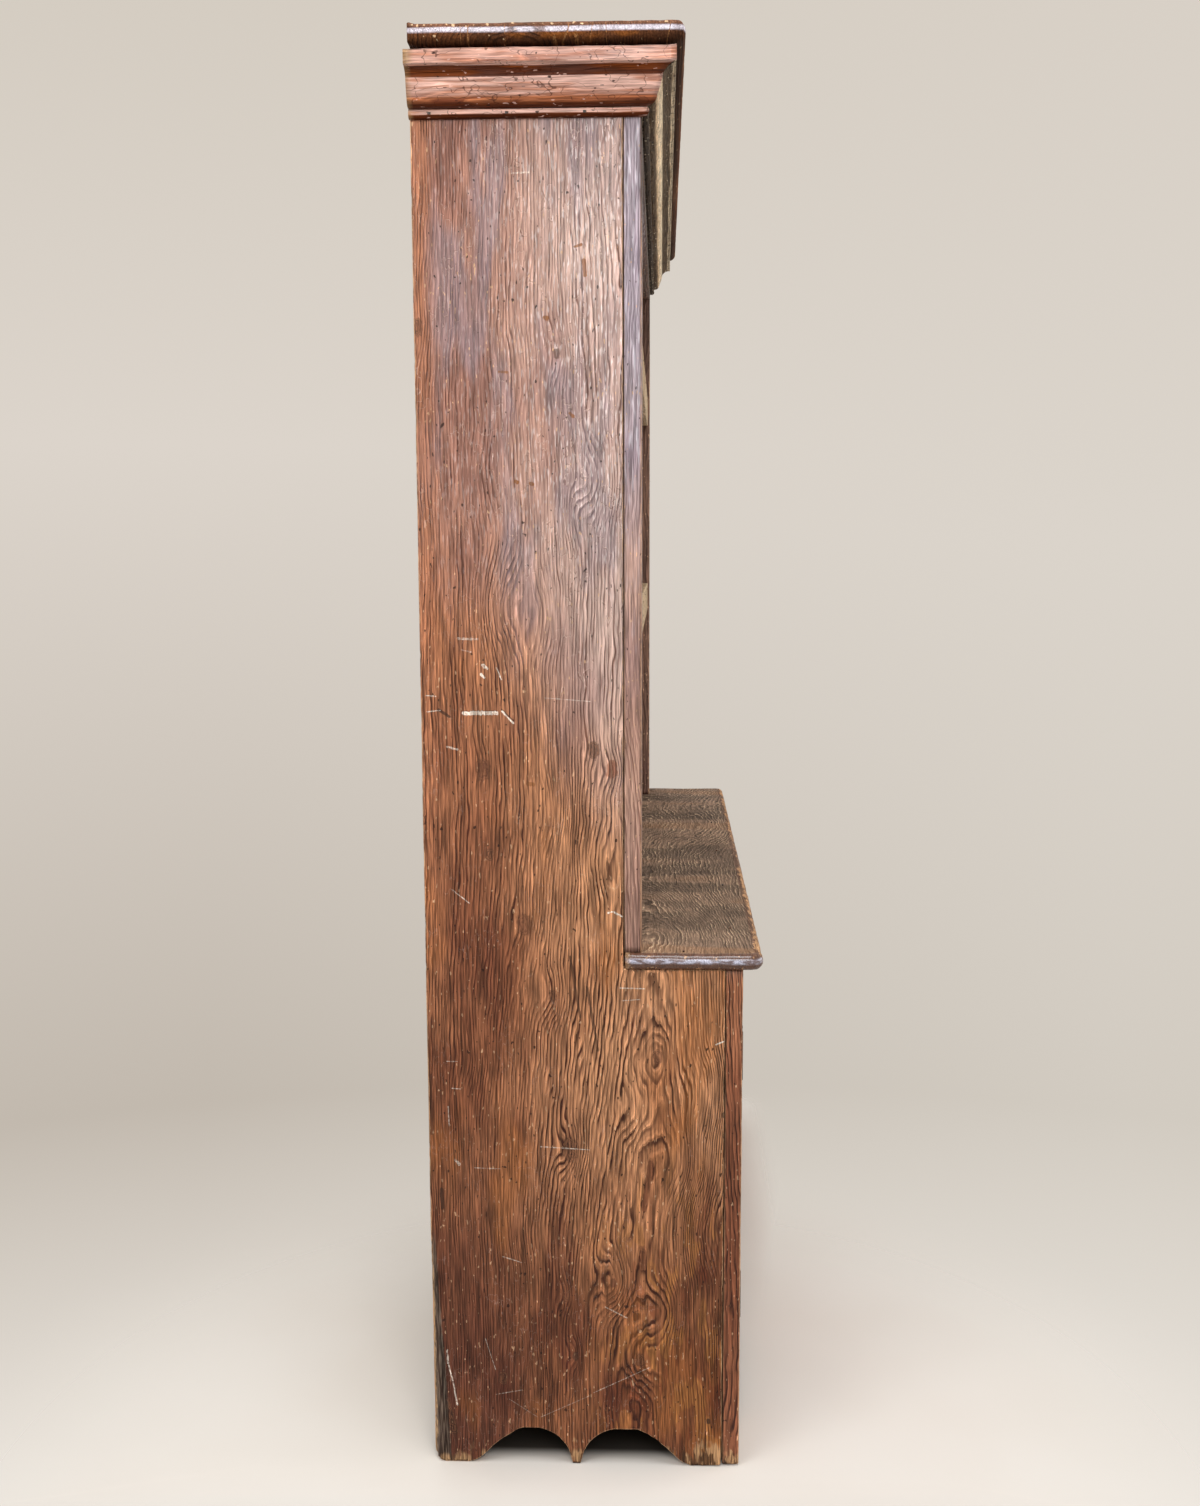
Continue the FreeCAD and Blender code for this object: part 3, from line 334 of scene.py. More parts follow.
def plain_pine(name, early, late, tint, pale):
    """Pine with one finish all over, worn at its edges and darker at its end grain."""
    pine = Pine(name)
    pine.colour = pine.body(early, late, tint, 0.75)
    pine.paint(pine.end * 0.45, late)
    pine.specks((38, 24, 17), pale)
    pine.worn(pale)
    return pine.finish(pine.roughness(0.54, 0.72), 0.25, contrast=0.8)


def seam(pine, y, z):
    """The dark joint between a side and the front frame."""
    g = pine.graph
    joint = g.smooth(z, step_z, step_z + 0.001, frame_edge, upper_back)
    reach = abs(y - joint)
    pine.paint(g.smooth(reach, 0.0018, 0.0006) * 0.75, (50, 31, 24))


def painted_ripples(pine, share):
    """Short curved ripples painted as relief: a line of painted shade with a painted highlight beside
    it.
    """
    g = pine.graph
    wave = pine.noise(105, 42, detail=1.5, offset=101) - 0.5
    patches = g.smooth(pine.noise(26, 13, offset=107), 0.46, 0.60)
    dark = g.smooth(abs(wave + 0.010), 0.012, 0.004)
    light = g.smooth(abs(wave - 0.012), 0.012, 0.004)
    # The dark line is painted shade and the pale one a painted highlight.
    pine.paint(dark * patches * share * 0.55, (92, 52, 38))
    pine.paint(light * patches * share * 0.5, (236, 206, 188))


def feet(pine, y, z):
    """Chipped and cracked pale wood at the floor, highest beside the seam, with a painted contact
    shadow at the very bottom.
    """
    g = pine.graph
    chunk = pine.noise(62, 34, detail=2, offset=113)
    ragged = (pine.patch - 0.5) * 0.06 + (chunk - 0.5) * 0.09 + (pine.streak - 0.5) * 0.03
    beside = g.smooth(abs(y - frame_edge - 0.02), 0.05, 0.0) * 0.028
    bare = g.smooth(z + ragged - beside, 0.026, 0.010)
    cracks = g.smooth(pine.noise(130, 34, detail=2, offset=67), 0.50, 0.57)
    foot = g.mix(pine.fibre, (150, 104, 66), (216, 176, 130))
    foot = g.mix(cracks * 0.85, foot, (54, 34, 23))
    pine.paint(bare * 0.8, foot)
    # A painted contact shadow along the bottom few millimetres.
    pine.paint(g.smooth(z + (pine.spot - 0.5) * 0.003, 0.0040, 0.0015) * 0.85, (40, 28, 22))


def near_marks(pine, y, z):
    """What has happened to the near side: knots, gouges, scratches, the wane at its foot."""
    g = pine.graph
    ragged = (pine.spot - 0.5) * 1.6
    share, ink, rings = g.mark("under", y, z, ragged * 0.6)
    ink = g.mix(rings * 0.7, ink, (150, 100, 70))
    pine.paint(share * g.smooth(pine.fibre, 0.3, 0.55, 0.6, 1.0), ink)
    share, ink, rings = g.mark("over", y, z, ragged)
    broken = g.smooth(pine.noise(300, 300, offset=3), 0.40, 0.54, 0.3, 1.0)
    pine.paint(g.math("MULTIPLY", share, broken, clamp=True), ink)
    wobble = (pine.spot - 0.5) * 0.004
    drop = g.math("MAXIMUM", 0.34 - z, 0.0)
    wane = g.smooth(y + wobble + drop * 0.055, 0.2355, 0.2385) * g.smooth(z, 0.38, 0.33)
    stained = g.mix(g.smooth(pine.fibre, 0.4, 0.62), (52, 41, 33), (118, 104, 90))
    pine.paint(wane * 0.8, stained)
    rim = g.smooth(y + wobble * 2, 0.2400, 0.2425) * g.smooth(z, 0.36, 0.22)
    pine.paint(rim * 0.85, (216, 174, 130))


def side_material(name, marked):
    """A wide board: red-mauve wash above, bare warm pine below, dark towards the floor."""
    pine = Pine(name, 0.0041)
    g = pine.graph
    x, y, z = g.parts(g.place())
    wander = (pine.patch - 0.5) * 0.5
    front = g.smooth(y + wander * 0.14, 0.20, -0.06)
    upper = g.smooth(z + wander + front * 0.3, 1.14, 1.50)
    rear = g.smooth(y + wander * 0.05, 0.205, 0.235)
    low = g.smooth(z + wander * 0.5, 0.60, 0.14)
    # Here and on the upper part, towards the front edge the colours are lighter and paler, in part a
    # painted sheen.
    early = g.mix(front, (174, 113, 78), (206, 147, 106))
    early = g.mix(low, early, g.mix(front, (126, 77, 54), (156, 99, 65)))
    late = g.mix(front, (76, 38, 25), (66, 33, 21))
    tint = g.mix(front, (130, 78, 53), (170, 110, 71))
    tint = g.mix(low, tint, g.mix(front, (106, 62, 46), (124, 72, 46)))
    pine.colour = pine.body(early, late, tint, 1.55)
    blush = pine.noise(11, 4, detail=2, offset=77)
    pine.paint(g.smooth(blush, 0.55, 0.68) * 0.4, (176, 108, 56))
    pine.paint(g.smooth(blush, 0.44, 0.33) * (0.2 + low * 0.3), (88, 42, 32))
    flake = pine.noise(38, 12, detail=2, offset=119)
    flaked = g.smooth(y, 0.06, -0.12) * g.smooth(z, 0.60, 0.30) * g.smooth(pine.late, 0.35, 0.0)
    pine.paint(g.smooth(flake, 0.54, 0.58) * flaked * 0.6, (184, 122, 66))
    pine.paint(g.smooth(flake, 0.43, 0.39) * flaked * 0.5, (100, 42, 26))
    lower = pine.colour
    pine.colour = pine.body(g.mix(front, (186, 134, 112), (212, 180, 166)),
                            g.mix(front, (90, 50, 38), (106, 70, 58)),
                            g.mix(front, (156, 110, 94), (178, 144, 134)), 1.15)
    # Blue-grey patches on the wash, in part a painted sheen.
    cool = pine.noise(20, 4.5, detail=2, offset=51)
    warm = pine.noise(13, 6, detail=2, offset=57)
    pine.paint(g.smooth(cool, 0.52, 0.66) * 0.5, (146, 130, 136))
    pine.paint(g.smooth(warm, 0.57, 0.72) * 0.22, (184, 130, 102))
    pine.colour = g.mix(upper, lower, pine.colour)
    # Pale glints on the upper part, most towards the front: a painted highlight.
    glint = pine.noise(400, 62, detail=1.5, offset=41)
    painted_highlight = g.smooth(glint, 0.55, 0.68) * g.smooth(z + wander, 1.15, 1.5) * (0.25 + front * 0.75)
    pine.paint(painted_highlight * 0.7, (232, 214, 208))
    straight = g.mix(pine.late, (188, 122, 86), (84, 40, 26))
    pine.paint(rear * g.smooth(z, 0.7, 1.1) * 0.7, straight)
    painted_ripples(pine, 0.25 + upper * (0.35 + front * 0.4))
    pine.specks(HOLE_AND_CREASE_DARK, (222, 178, 138), low * 0.012 - 0.014)
    if marked:
        near_marks(pine, y, z)
    feet(pine, y, z)
    pine.worn((216, 172, 130), more=g.smooth(z, 0.09, 0.06) * 0.35)
    seam(pine, y, z)
    # Low on the inner face the board darkens: painted shade under the cupboard.
    inside = g.smooth(abs(x), -inner_x + 0.012, -inner_x + 0.006)
    pine.paint(inside * g.smooth(z, 0.16, 0.10) * 0.75, (30, 22, 17))
    rough = pine.roughness(0.40, 0.58) + low * 0.08
    contrast = g.smooth(upper, 0.0, 1.0, 1.55, 1.1)
    return pine.finish(rough, 0.2, bump=0.0019, coat=upper * front * 0.3, contrast=contrast)


def frame_material():
    """The front frames and the doors: a painted lavender sheen with glints above on the left, redder
    below.
    """
    pine = Pine("frame_wood", 0.0045)
    g = pine.graph
    x, y, z = g.parts(g.place())
    wander = (pine.patch - 0.5) * 0.5
    upper = g.smooth(z, step_z - 0.03, step_z + 0.03)
    # On the near side the upper frame gets lighter colours and a lavender haze, a painted sheen,
    # weaker on the front faces.
    edge_on = g.smooth(y, upper_face + 0.001, upper_face + 0.004, 0.35, 1.0)
    near = g.smooth(x, 0.3, -0.3) * edge_on
    painted_sheen = g.smooth(z + wander, 1.15, 1.65) * near
    lower = pine.body((174, 112, 79), (62, 32, 23), (138, 82, 57), 1.5)
    top = pine.body(g.mix(near, (128, 94, 76), (192, 150, 130)),
                    g.mix(near, (74, 48, 38), (116, 76, 62)),
                    g.mix(near, (108, 78, 66), (170, 130, 114)), 0.85)
    sheen_colour = pine.body((176, 160, 166), (112, 96, 102), (146, 129, 140), 0.75)
    pine.colour = g.mix(upper, lower, g.mix(painted_sheen, top, sheen_colour))
    # Painted glints in the sheen.
    glint = pine.noise(280, 30, detail=1.5, offset=41)
    pine.paint(g.smooth(glint, 0.55, 0.7) * painted_sheen * 0.6, (226, 216, 222))
    pine.specks(HOLE_AND_CREASE_DARK, (220, 176, 138))
    pine.paint(pine.end * 0.5, (70, 44, 32))
    feet(pine, y, z)
    pine.worn((208, 160, 120))
    seam(pine, y, z)
    # Below the cornice the front face of the frame is darkened: a painted shadow of the cornice.
    cornice_shadow = (g.smooth(z + wander * 0.2, crown_z - 0.26, crown_z - 0.08)
             * g.smooth(y, upper_face + 0.003, upper_face + 0.001))
    pine.paint(cornice_shadow * 0.8, (46, 32, 25))
    # Painted shade in the creases at the step round each door panel.
    shaded_creases = g.smooth(pine.crease_shade + (pine.spot - 0.5) * 0.3, 0.70, 0.95)
    pine.paint(shaded_creases * 0.8, HOLE_AND_CREASE_DARK)
    return pine.finish(pine.roughness(0.42, 0.58), 0.22, bump=0.0014, contrast=1.3)


def counter_material():
    """A dark, hard-used board: grey-brown with a tan rubbed rim, and glossy nosings at its ends with
    a painted sheen.
    """
    pine = Pine("counter_wood", 0.0052, swirl=1.5)
    g = pine.graph
    x, y, z = g.parts(g.place())
    band = pine.noise(2.6, 6, detail=2, offset=83)
    pine.colour = pine.body((162, 131, 107), (70, 55, 44), (134, 110, 92), 1.1)
    pine.paint(g.smooth(band, 0.48, 0.60) * 0.6, (80, 66, 55))
    pine.paint(g.smooth(band, 0.46, 0.34) * 0.5, (156, 116, 84))
    flecks = pine.noise(150, 130, offset=91)
    pine.paint(g.smooth(flecks, 0.69, 0.74) * 0.65, (206, 178, 146))
    curls = pine.noise(16, 5, offset=95)
    curls = pine.ridge * g.smooth(curls, 0.40, 0.60) * g.smooth(pine.spot, 0.35, 0.55)
    pine.paint(curls * 0.85, (214, 184, 150))
    pine.paint(g.smooth(pine.spot, 0.68, 0.74) * 0.7, (36, 28, 23))
    nosing = g.smooth(pine.wear, 0.15, 0.40)
    ends = g.smooth(abs(x), -side_low.x - 0.008, -side_low.x + 0.002)
    pine.paint(nosing * (0.6 + ends * 0.3), (92, 58, 44))
    # A painted blue-white sheen along the middle of the nosing at both ends.
    sheen = g.smooth(abs(z - step_z - 0.0142 + (pine.patch - 0.5) * 0.004), 0.0054, 0.0010)
    broken = g.smooth(pine.noise(60, 22, 190, detail=2, offset=27), 0.46, 0.62, 1.0, 0.2)
    pine.paint(sheen * ends * broken * 0.9, (206, 204, 220))
    chips = pine.noise(60, 34, detail=2, offset=99)
    rub = (pine.wear + (pine.patch - 0.5) * 1.6 + (pine.spot - 0.5) * 1.8 + (chips - 0.5) * 2.2
           + nosing * g.smooth(ends, 0.0, 1.0, 0.15, -0.4))
    pine.paint(g.smooth(rub, 1.00, 1.25) * 0.75, (204, 156, 112))
    horn = g.smooth(y, upper_back - 0.012, upper_back - 0.004) * ends
    pine.paint(horn * 0.7, g.mix(pine.fibre, (120, 82, 54), (206, 168, 126)))
    return pine.finish(pine.roughness(0.62, 0.78), 0.12, bump=0.0014, coat=nosing * ends * 0.8,
                       contrast=0.9)


def top_material():
    """The top board: nearly black brown, checked across its ends, with glossy end nosings that carry
    a painted sheen band and painted shade below it.
    """
    pine = Pine("top_wood")
    g = pine.graph
    x, _, z = g.parts(g.place())
    pine.colour = pine.body((104, 62, 36), (40, 24, 16), (72, 44, 29), 0.9)
    amber = pine.noise(14, 3, 40, detail=2, offset=33)
    lower_half = g.smooth(z, top_middle + 0.002, top_middle - 0.006)
    pine.paint(g.smooth(amber, 0.50, 0.66) * (0.12 + lower_half * 0.5), (150, 86, 34))
    checks = pine.noise(34, 3, 5, offset=37)
    check = g.smooth(abs(checks - 0.5), 0.012, 0.004)
    pine.paint(check * g.smooth(pine.spot, 0.35, 0.6) * 0.8, (172, 120, 74))
    flecks = pine.noise(150, 150, offset=55)
    nosing = g.smooth(pine.wear, 0.15, 0.40)
    top_edge = g.smooth(z, top_middle + 0.005, top_middle + 0.009) * nosing
    ends = g.smooth(abs(x), 0.780, 0.795)
    pine.paint(top_edge * ends * 0.6, (112, 78, 60))
    pine.paint(g.smooth(flecks + top_edge * 0.08, 0.70, 0.74) * 0.8, (214, 178, 138))
    pine.paint(g.smooth(pine.spot, 0.68, 0.73) * 0.8, (24, 16, 12))
    # A painted sheen band along the end nosings, broken by the checks.
    middle = top_middle + 0.0022
    sheen = g.smooth(abs(z - middle + (pine.patch - 0.5) * 0.004), 0.0048, 0.0010)
    sheen = sheen * ends * g.smooth(checks, 0.36, 0.46, 0.35, 1.0) * (1 - check * 0.8)
    pine.paint(sheen * 0.92, (206, 196, 204))
    # The lower part of the nosing is darker: painted shade.
    foot = g.smooth(z, top_middle - 0.005, top_middle - 0.013)
    pine.paint(foot * 0.6, (26, 14, 8))
    rough = pine.roughness(0.60, 0.75)
    coat = nosing * ends * (1 - check * 0.8) * sheen
    return pine.finish(rough, 0.05, bump=0.0012, coat=coat * 0.7, contrast=0.9)


def cornice_material(name, painted):
    """The moulding: red on its returns with a painted pink highlight on top, khaki brown along the
    front, with painted shade in its hollows.
    """
    pine = Pine(name, 0.0042)
    g = pine.graph
    _, y, z = g.parts(g.place())
    height = z - crown_z + (pine.streak - 0.5) * 0.002 + (pine.patch - 0.5) * 0.0025
    if painted:
        pine.colour = pine.body((184, 111, 72), (112, 52, 30), (164, 93, 58), 0.9)
        shade_colour, pale = (74, 27, 2), (232, 188, 172)
        strength = 0.88
    else:
        pine.colour = pine.body((240, 204, 162), (136, 104, 76), (208, 172, 132), 1.0)
        shade_colour, pale = (70, 52, 36), (246, 224, 190)
        strength = 0.85
    # A painted highlight on the swell and above it, less on the fillet, and on the returns on the
    # bead.
    swell = g.smooth(height, 0.0100, 0.0150, 0.0, 0.8) + g.smooth(height, 0.015, 0.028, 0.0, 0.2)
    fillet = g.smooth(height, COVE_TOP, COVE_TOP + 0.003, 0.0, 0.30)
    rounded = g.smooth(abs(height + 0.0030), 0.0052, 0.0032)
    rubbed = g.math("MAXIMUM", swell - fillet, rounded) if painted else swell - fillet
    broken = g.smooth(pine.noise(140, 12, detail=2, offset=71), 0.36, 0.56, 0.35, 1.0)
    pine.paint(g.math("MULTIPLY", rubbed, broken * strength, clamp=True), pale)
    cracks = abs(pine.noise(46, 26, detail=2, offset=19) - 0.5)
    pine.paint(g.smooth(cracks, 0.009, 0.003) * 0.7, (72, 36, 26))
    # Painted shade in the cove, at the foot of the swell and under the bead.
    cove = (g.smooth(height, SWELL_TOP - 0.0015, SWELL_TOP + 0.0010)
            * g.smooth(height, COVE_TOP, COVE_TOP - 0.0015))
    foot = g.smooth(height, 0.0110, 0.0005) * g.smooth(height, -0.0006, 0.0004)
    under = g.smooth(height, -0.0060, -0.0090)
    hollow = g.math("MAXIMUM", cove, g.math("MAXIMUM", foot * 0.9, under))
    pine.paint(g.smooth(hollow, 0.05, 0.9) * 0.94, shade_colour)
    if painted:
        # Orange streaks in the painted shade of the cove.
        ember = g.smooth(pine.noise(90, 9, offset=87), 0.5, 0.66)
        pine.paint(ember * cove * 0.6, (138, 68, 24))
        tip = (g.smooth(y, side_high.y - 0.016, side_high.y - 0.004)
               * g.smooth(height, COVE_TOP, COVE_TOP + 0.002))
        pine.paint(tip * 0.8, g.mix(pine.fibre, (120, 84, 54), (214, 176, 132)))
    else:
        # On the front the fillet and the bead are darker still: painted shade.
        plain = g.smooth(height, COVE_TOP - 0.0010, COVE_TOP + 0.0010, 0.0, 0.65)
        bead = g.smooth(height, 0.0004, -0.0010, 0.0, 0.9)
        pine.paint(g.math("MAXIMUM", plain, bead), (56, 42, 31))
        slits = abs(g.noise(g.place(), (55, 8, 150), offset=59) - 0.5)
        pine.paint(g.smooth(slits, 0.016, 0.006) * 0.85, (30, 22, 16))
    pine.specks(HOLE_AND_CREASE_DARK, pale)
    pine.paint(pine.end * 0.6, (168, 132, 90))
    pine.worn(pale, 0.65)
    rough = pine.roughness(0.42, 0.6) + (0.0 if painted else 0.2)
    coat = (1 - hollow) * (0.3 if painted else 0.05)
    return pine.finish(rough, 0.08, bump=0.0014, coat=coat)


def turned_material():
    """Turned and carved small parts: dark handled fruitwood brown."""
    g = material_graph("turned_wood")
    place = g.place()
    grain = g.noise(place, (260, 260, 26), detail=2)
    mottle = g.noise(place, (60, 60, 30), detail=2, offset=7)
    colour = g.mix(g.smooth(grain, 0.35, 0.65), (62, 34, 22), (116, 66, 40))
    colour = g.mix(g.smooth(mottle, 0.45, 0.7) * 0.6, colour, (140, 84, 50))
    return g.surface(colour, g.smooth(mottle, 0.3, 0.7, 0.28, 0.46), grain, 0.0003)


def iron_material(name, rust):
    """Old iron: dark grey with rust in patches."""
    g = material_graph(name)
    place = g.place()
    mottle = g.noise(place, (110, 110, 110), detail=3, rough=0.65)
    pits = g.noise(place, (700, 700, 700), detail=2, offset=13)
    rusty = g.smooth(mottle + (pits - 0.5) * 0.3, 0.62 - rust * 0.25, 0.75 - rust * 0.25)
    colour = g.mix(rusty, (72, 68, 66), (98, 56, 36))
    rough = g.smooth(pits, 0.3, 0.7, 0.38, 0.62) + rusty * 0.2
    return g.surface(colour, rough, pits + mottle, 0.0004, Metallic=0.85 - rusty * 0.75)


def peg_material():
    """The end grain of small pegs."""
    g = material_graph("peg_wood")
    place = g.place()
    speck = g.noise(place, (900, 900, 900), detail=2)
    mottle = g.noise(place, (120, 120, 120), detail=1, offset=5)
    colour = g.mix(g.smooth(speck, 0.35, 0.65), (78, 46, 32), (124, 78, 52))
    colour = g.mix(g.smooth(mottle, 0.45, 0.65) * 0.5, colour, (96, 60, 44))
    return g.surface(colour, 0.6, speck, 0.0004)


MATERIALS = {
    "near_side": side_material("near_side_wood", True),
    "far_side": side_material("far_side_wood", False),
    "frame": frame_material(),
    "counter": counter_material(),
    "top": top_material(),
    "cornice": cornice_material("cornice_wood", True),
    "cornice_front": cornice_material("cornice_front_wood", False),
    "shelf": plain_pine("shelf_wood", (198, 168, 132), (130, 102, 74),
                        (178, 148, 114), (216, 190, 154)),
    "inside": plain_pine("inside_wood", (150, 110, 76), (92, 60, 40),
                         (126, 90, 64), (190, 156, 116)),
    "backs": plain_pine("back_wood", (150, 124, 94), (96, 74, 54),
                        (124, 104, 84), (184, 162, 130)),
    "turned": turned_material(),
    "hinge_iron": iron_material("hinge_iron", 0.4),
    "nail_iron": iron_material("nail_iron", 0.8),
    "peg": peg_material(),
}


# --- meshes ---

class Log:
    """How a board lies in its log: its directions, and the heart behind its face.

    calm below 1 draws every pattern out along the grain.
    """

    def __init__(self, along, across, depth, heart, slope, seed, calm=1.0):
        self.turn = np.array([across, along, depth], float)
        self.shift = np.array([-heart[0], seed * 3.7, heart[1]], float)
        self.slope = slope
        self.calm = calm

    def places(self, points):
        inside = (points - (points.min(0) + points.max(0)) / 2) @ self.turn.T
        inside[:, 2] += self.slope * inside[:, 1]
        inside[:, 1] *= self.calm
        return inside + self.shift


def make_object(name, points, faces, log, edge):
    """A mesh object with the attributes that the wood starts from."""
    points = np.array([tuple(point) for point in points])
    mesh = bpy.data.meshes.new(name)
    mesh.from_pydata(points.tolist(), [], faces)
    mesh.validate()
    for label, values in (("grain", log.places(points)), ("edge", edge)):
        layer = mesh.attributes.new(label, "FLOAT_VECTOR", "POINT")
        layer.data.foreach_set("vector", np.asarray(values, np.float32).ravel())
    mesh.shade_smooth()
    item = bpy.data.objects.new(name, mesh)
    bpy.context.scene.collection.objects.link(item)
    return item


def lines(low, high, step):
    """Even grid lines from low to high."""
    return list(np.linspace(low, high, max(1, round((high - low) / step)) + 1))


def merge(*spans):
    """Grid lines of neighbouring spans as one list."""
    found = []
    for span in spans:
        found += [value for value in span if not found or value > found[-1] + 1e-6]
    return found


def nothing(a, b):
    return 0.0


def plate(name, a_lines, b_lines, axes, front, back, log, seed, rounding=0.002, arc=3, wear=0.0012,
          wave=0.0006, keep=lambda a, b: True, shape=lambda a, b: (a, b), carve=nothing,
          hollow=nothing, trim=nothing, crease_shade_at=nothing):
    """A board as a grid on both faces, with worn round edges of arc steps between them.

    axes are the directions of a, b and of the front face. front and back are its two faces
    along the last one. rounding may be a function of the place and the outward direction.
    The other functions take a place (a, b): keep tells whether the board is there, shape
    moves it, carve and hollow give how far the front and the back are sunk, trim how far the
    rim is worn in, and the last gives the painted shade in creases.
    """
    side_a, side_b, out = (np.array(axis, float) for axis in axes)
    order = 1 if np.dot(np.cross(side_a, side_b), out) > 0 else -1
    count_a, count_b = len(a_lines), len(b_lines)
    flat = {}
    cells = []
    for i in range(count_a - 1):
        for j in range(count_b - 1):
            centre = ((a_lines[i] + a_lines[i + 1]) / 2, (b_lines[j] + b_lines[j + 1]) / 2)
            if keep(*centre):
                cells.append([(i, j), (i + 1, j), (i + 1, j + 1), (i, j + 1)])
    for cell in cells:
        for i, j in cell:
            if (i, j) not in flat:
                flat[i, j] = np.array(shape(a_lines[i], b_lines[j]))
    edges = {(cell[k], cell[(k + 1) % 4]) for cell in cells for k in range(4)}
    following = {start: end for start, end in edges if (end, start) not in edges}
    before = {end: start for start, end in following.items()}

    def outward(start, end):
        run = flat[end] - flat[start]
        return np.array((run[1], -run[0])) / max(np.hypot(*run), 1e-9)

    points, edge, faces = [], [], []

    def add(place, depth, worn=0.0, end_grain=0.0, crease_shade=0.0):
        points.append(side_a * place[0] + side_b * place[1] + out * depth)
        edge.append((worn, end_grain, crease_shade))
        return len(points) - 1

    def rough(place, scale, salt):
        spot = side_a * place[0] + side_b * place[1]
        return noise.noise(Vector(spot * scale) + Vector((salt, seed * 7.31, front * 50)))

    columns = {}
    for key, after in following.items():
        first, second = outward(before[key], key), outward(key, after)
        mitre = (first + second) / max(1 + float(first @ second), 0.3)
        place = flat[key]
        radius = rounding(place, mitre) if callable(rounding) else rounding
        inward = wave * (1 + rough(place, 7, 3)) / 2 + trim(*place)
        chip = max(0.0, rough(place, 42, 9) * 0.8 + rough(place, 150, 15) * 0.6 - 0.12) * wear / 0.5
        corner = place - mitre * inward
        direction = side_a * mitre[0] + side_b * mitre[1]
        end_grain = float(abs(direction @ log.turn[1]) > 0.6)
        column = []
        for top, sign in ((front - carve(*place), 1), (back + hollow(*place), -1)):
            turns = [k / arc * math.pi / 2 for k in range(arc + 1)]
            for turn in turns if sign > 0 else reversed(turns):
                inset = radius * (1 - math.sin(turn))
                down = radius * (1 - math.cos(turn))
                bite = chip * (0.35 + 0.65 * math.sin(turn * 2)) if sign > 0 else chip * 0.5
                worn = 0.35 + (0.65 + min(chip / MM * 0.3, 0.5)) * math.sin(turn * 2)
                column.append(add(corner - mitre * (inset + bite * math.sin(turn)),
                                  top - sign * (down + bite * math.cos(turn)), worn, end_grain))
        columns[key] = column
    fronts, backs = {}, {}
    for key, place in flat.items():
        if key in columns:
            fronts[key], backs[key] = columns[key][0], columns[key][-1]
        else:
            sunk = wave * (1 + rough(place, 9, 21)) / 2 + carve(*place)
            fronts[key] = add(place, front - sunk, crease_shade=crease_shade_at(*place))
            backs[key] = add(place, back + hollow(*place))
    for cell in cells:
        faces.append([fronts[key] for key in cell][::order])
        faces.append([backs[key] for key in cell][::-order])
    for start, end in following.items():
        first, second = columns[start], columns[end]
        for k in range(len(first) - 1):
            faces.append([first[k + 1], second[k + 1], second[k], first[k]][::order])
    return make_object(name, points, faces, log, edge)


def dress(item, node, slot, material, body="case"):
    """The item stands for a CAD node, rides on its body and takes its finish."""
    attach(item, body)
    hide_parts(node)
    item.data.materials.append(MATERIALS[material])
    return item


# --- the wide sides ---

ARCH_TOP = 0.057
ARCHES = [  # y of both ends, and the run and the bow of the curve at each end
    (-0.133, 0.022, 0.068, 0.050, 0.005, 0.013),
    (0.035, 0.179, 0.050, 0.068, 0.013, 0.005),
]


def curve_points(run, rise, bow, count=24):
    """Points of a circular arc from (0, 0) to (run, rise) that bows to the left."""
    chord = math.hypot(run, rise)
    radius = (chord * chord / 4 + bow * bow) / (2 * bow)
    half = math.asin(chord / 2 / radius)
    heading = math.atan2(rise, run) + half
    points = []
    for k in range(count + 1):
        turn = 2 * half * k / count
        points.append((radius * (math.sin(heading) - math.sin(heading - turn)),
                       radius * (math.cos(heading - turn) - math.cos(heading))))
    return np.array(points)


def arch_profile(arches, top):
    """A function of the place along the floor that gives the height of the scallops."""
    places, heights = [], []
    for start, end, start_run, end_run, start_bow, end_bow in arches:
        rising = curve_points(start_run, top, start_bow)
        falling = curve_points(end_run, top, end_bow)[::-1]
        places += list(start + rising[:, 0]) + list(end - falling[:, 0])
        heights += list(rising[:, 1]) + list(falling[:, 1])
    return lambda place: float(np.interp(place, places, heights, 0, 0))


scallops = arch_profile(ARCHES, ARCH_TOP)
BLEND_Z = 0.102
CORNER_REACH, CORNER_SPREAD = 0.020, 0.014


def above_scallops(floor, row):
    """The height of a grid row: the rows below BLEND_Z are squeezed above the scallops."""
    return floor + (row / BLEND_Z) * (BLEND_Z - floor) if row < BLEND_Z else row


def side_shape(y, row):
    """The scallops of a side have their outer corners worn round."""
    outer = y < ARCHES[0][0] + CORNER_REACH or y > ARCHES[1][1] - CORNER_REACH
    spread = CORNER_SPREAD if outer else 0.0
    floor = sum(scallops(y + spread * k / 5) for k in range(-5, 6)) / 11
    return (y, above_scallops(floor, row))


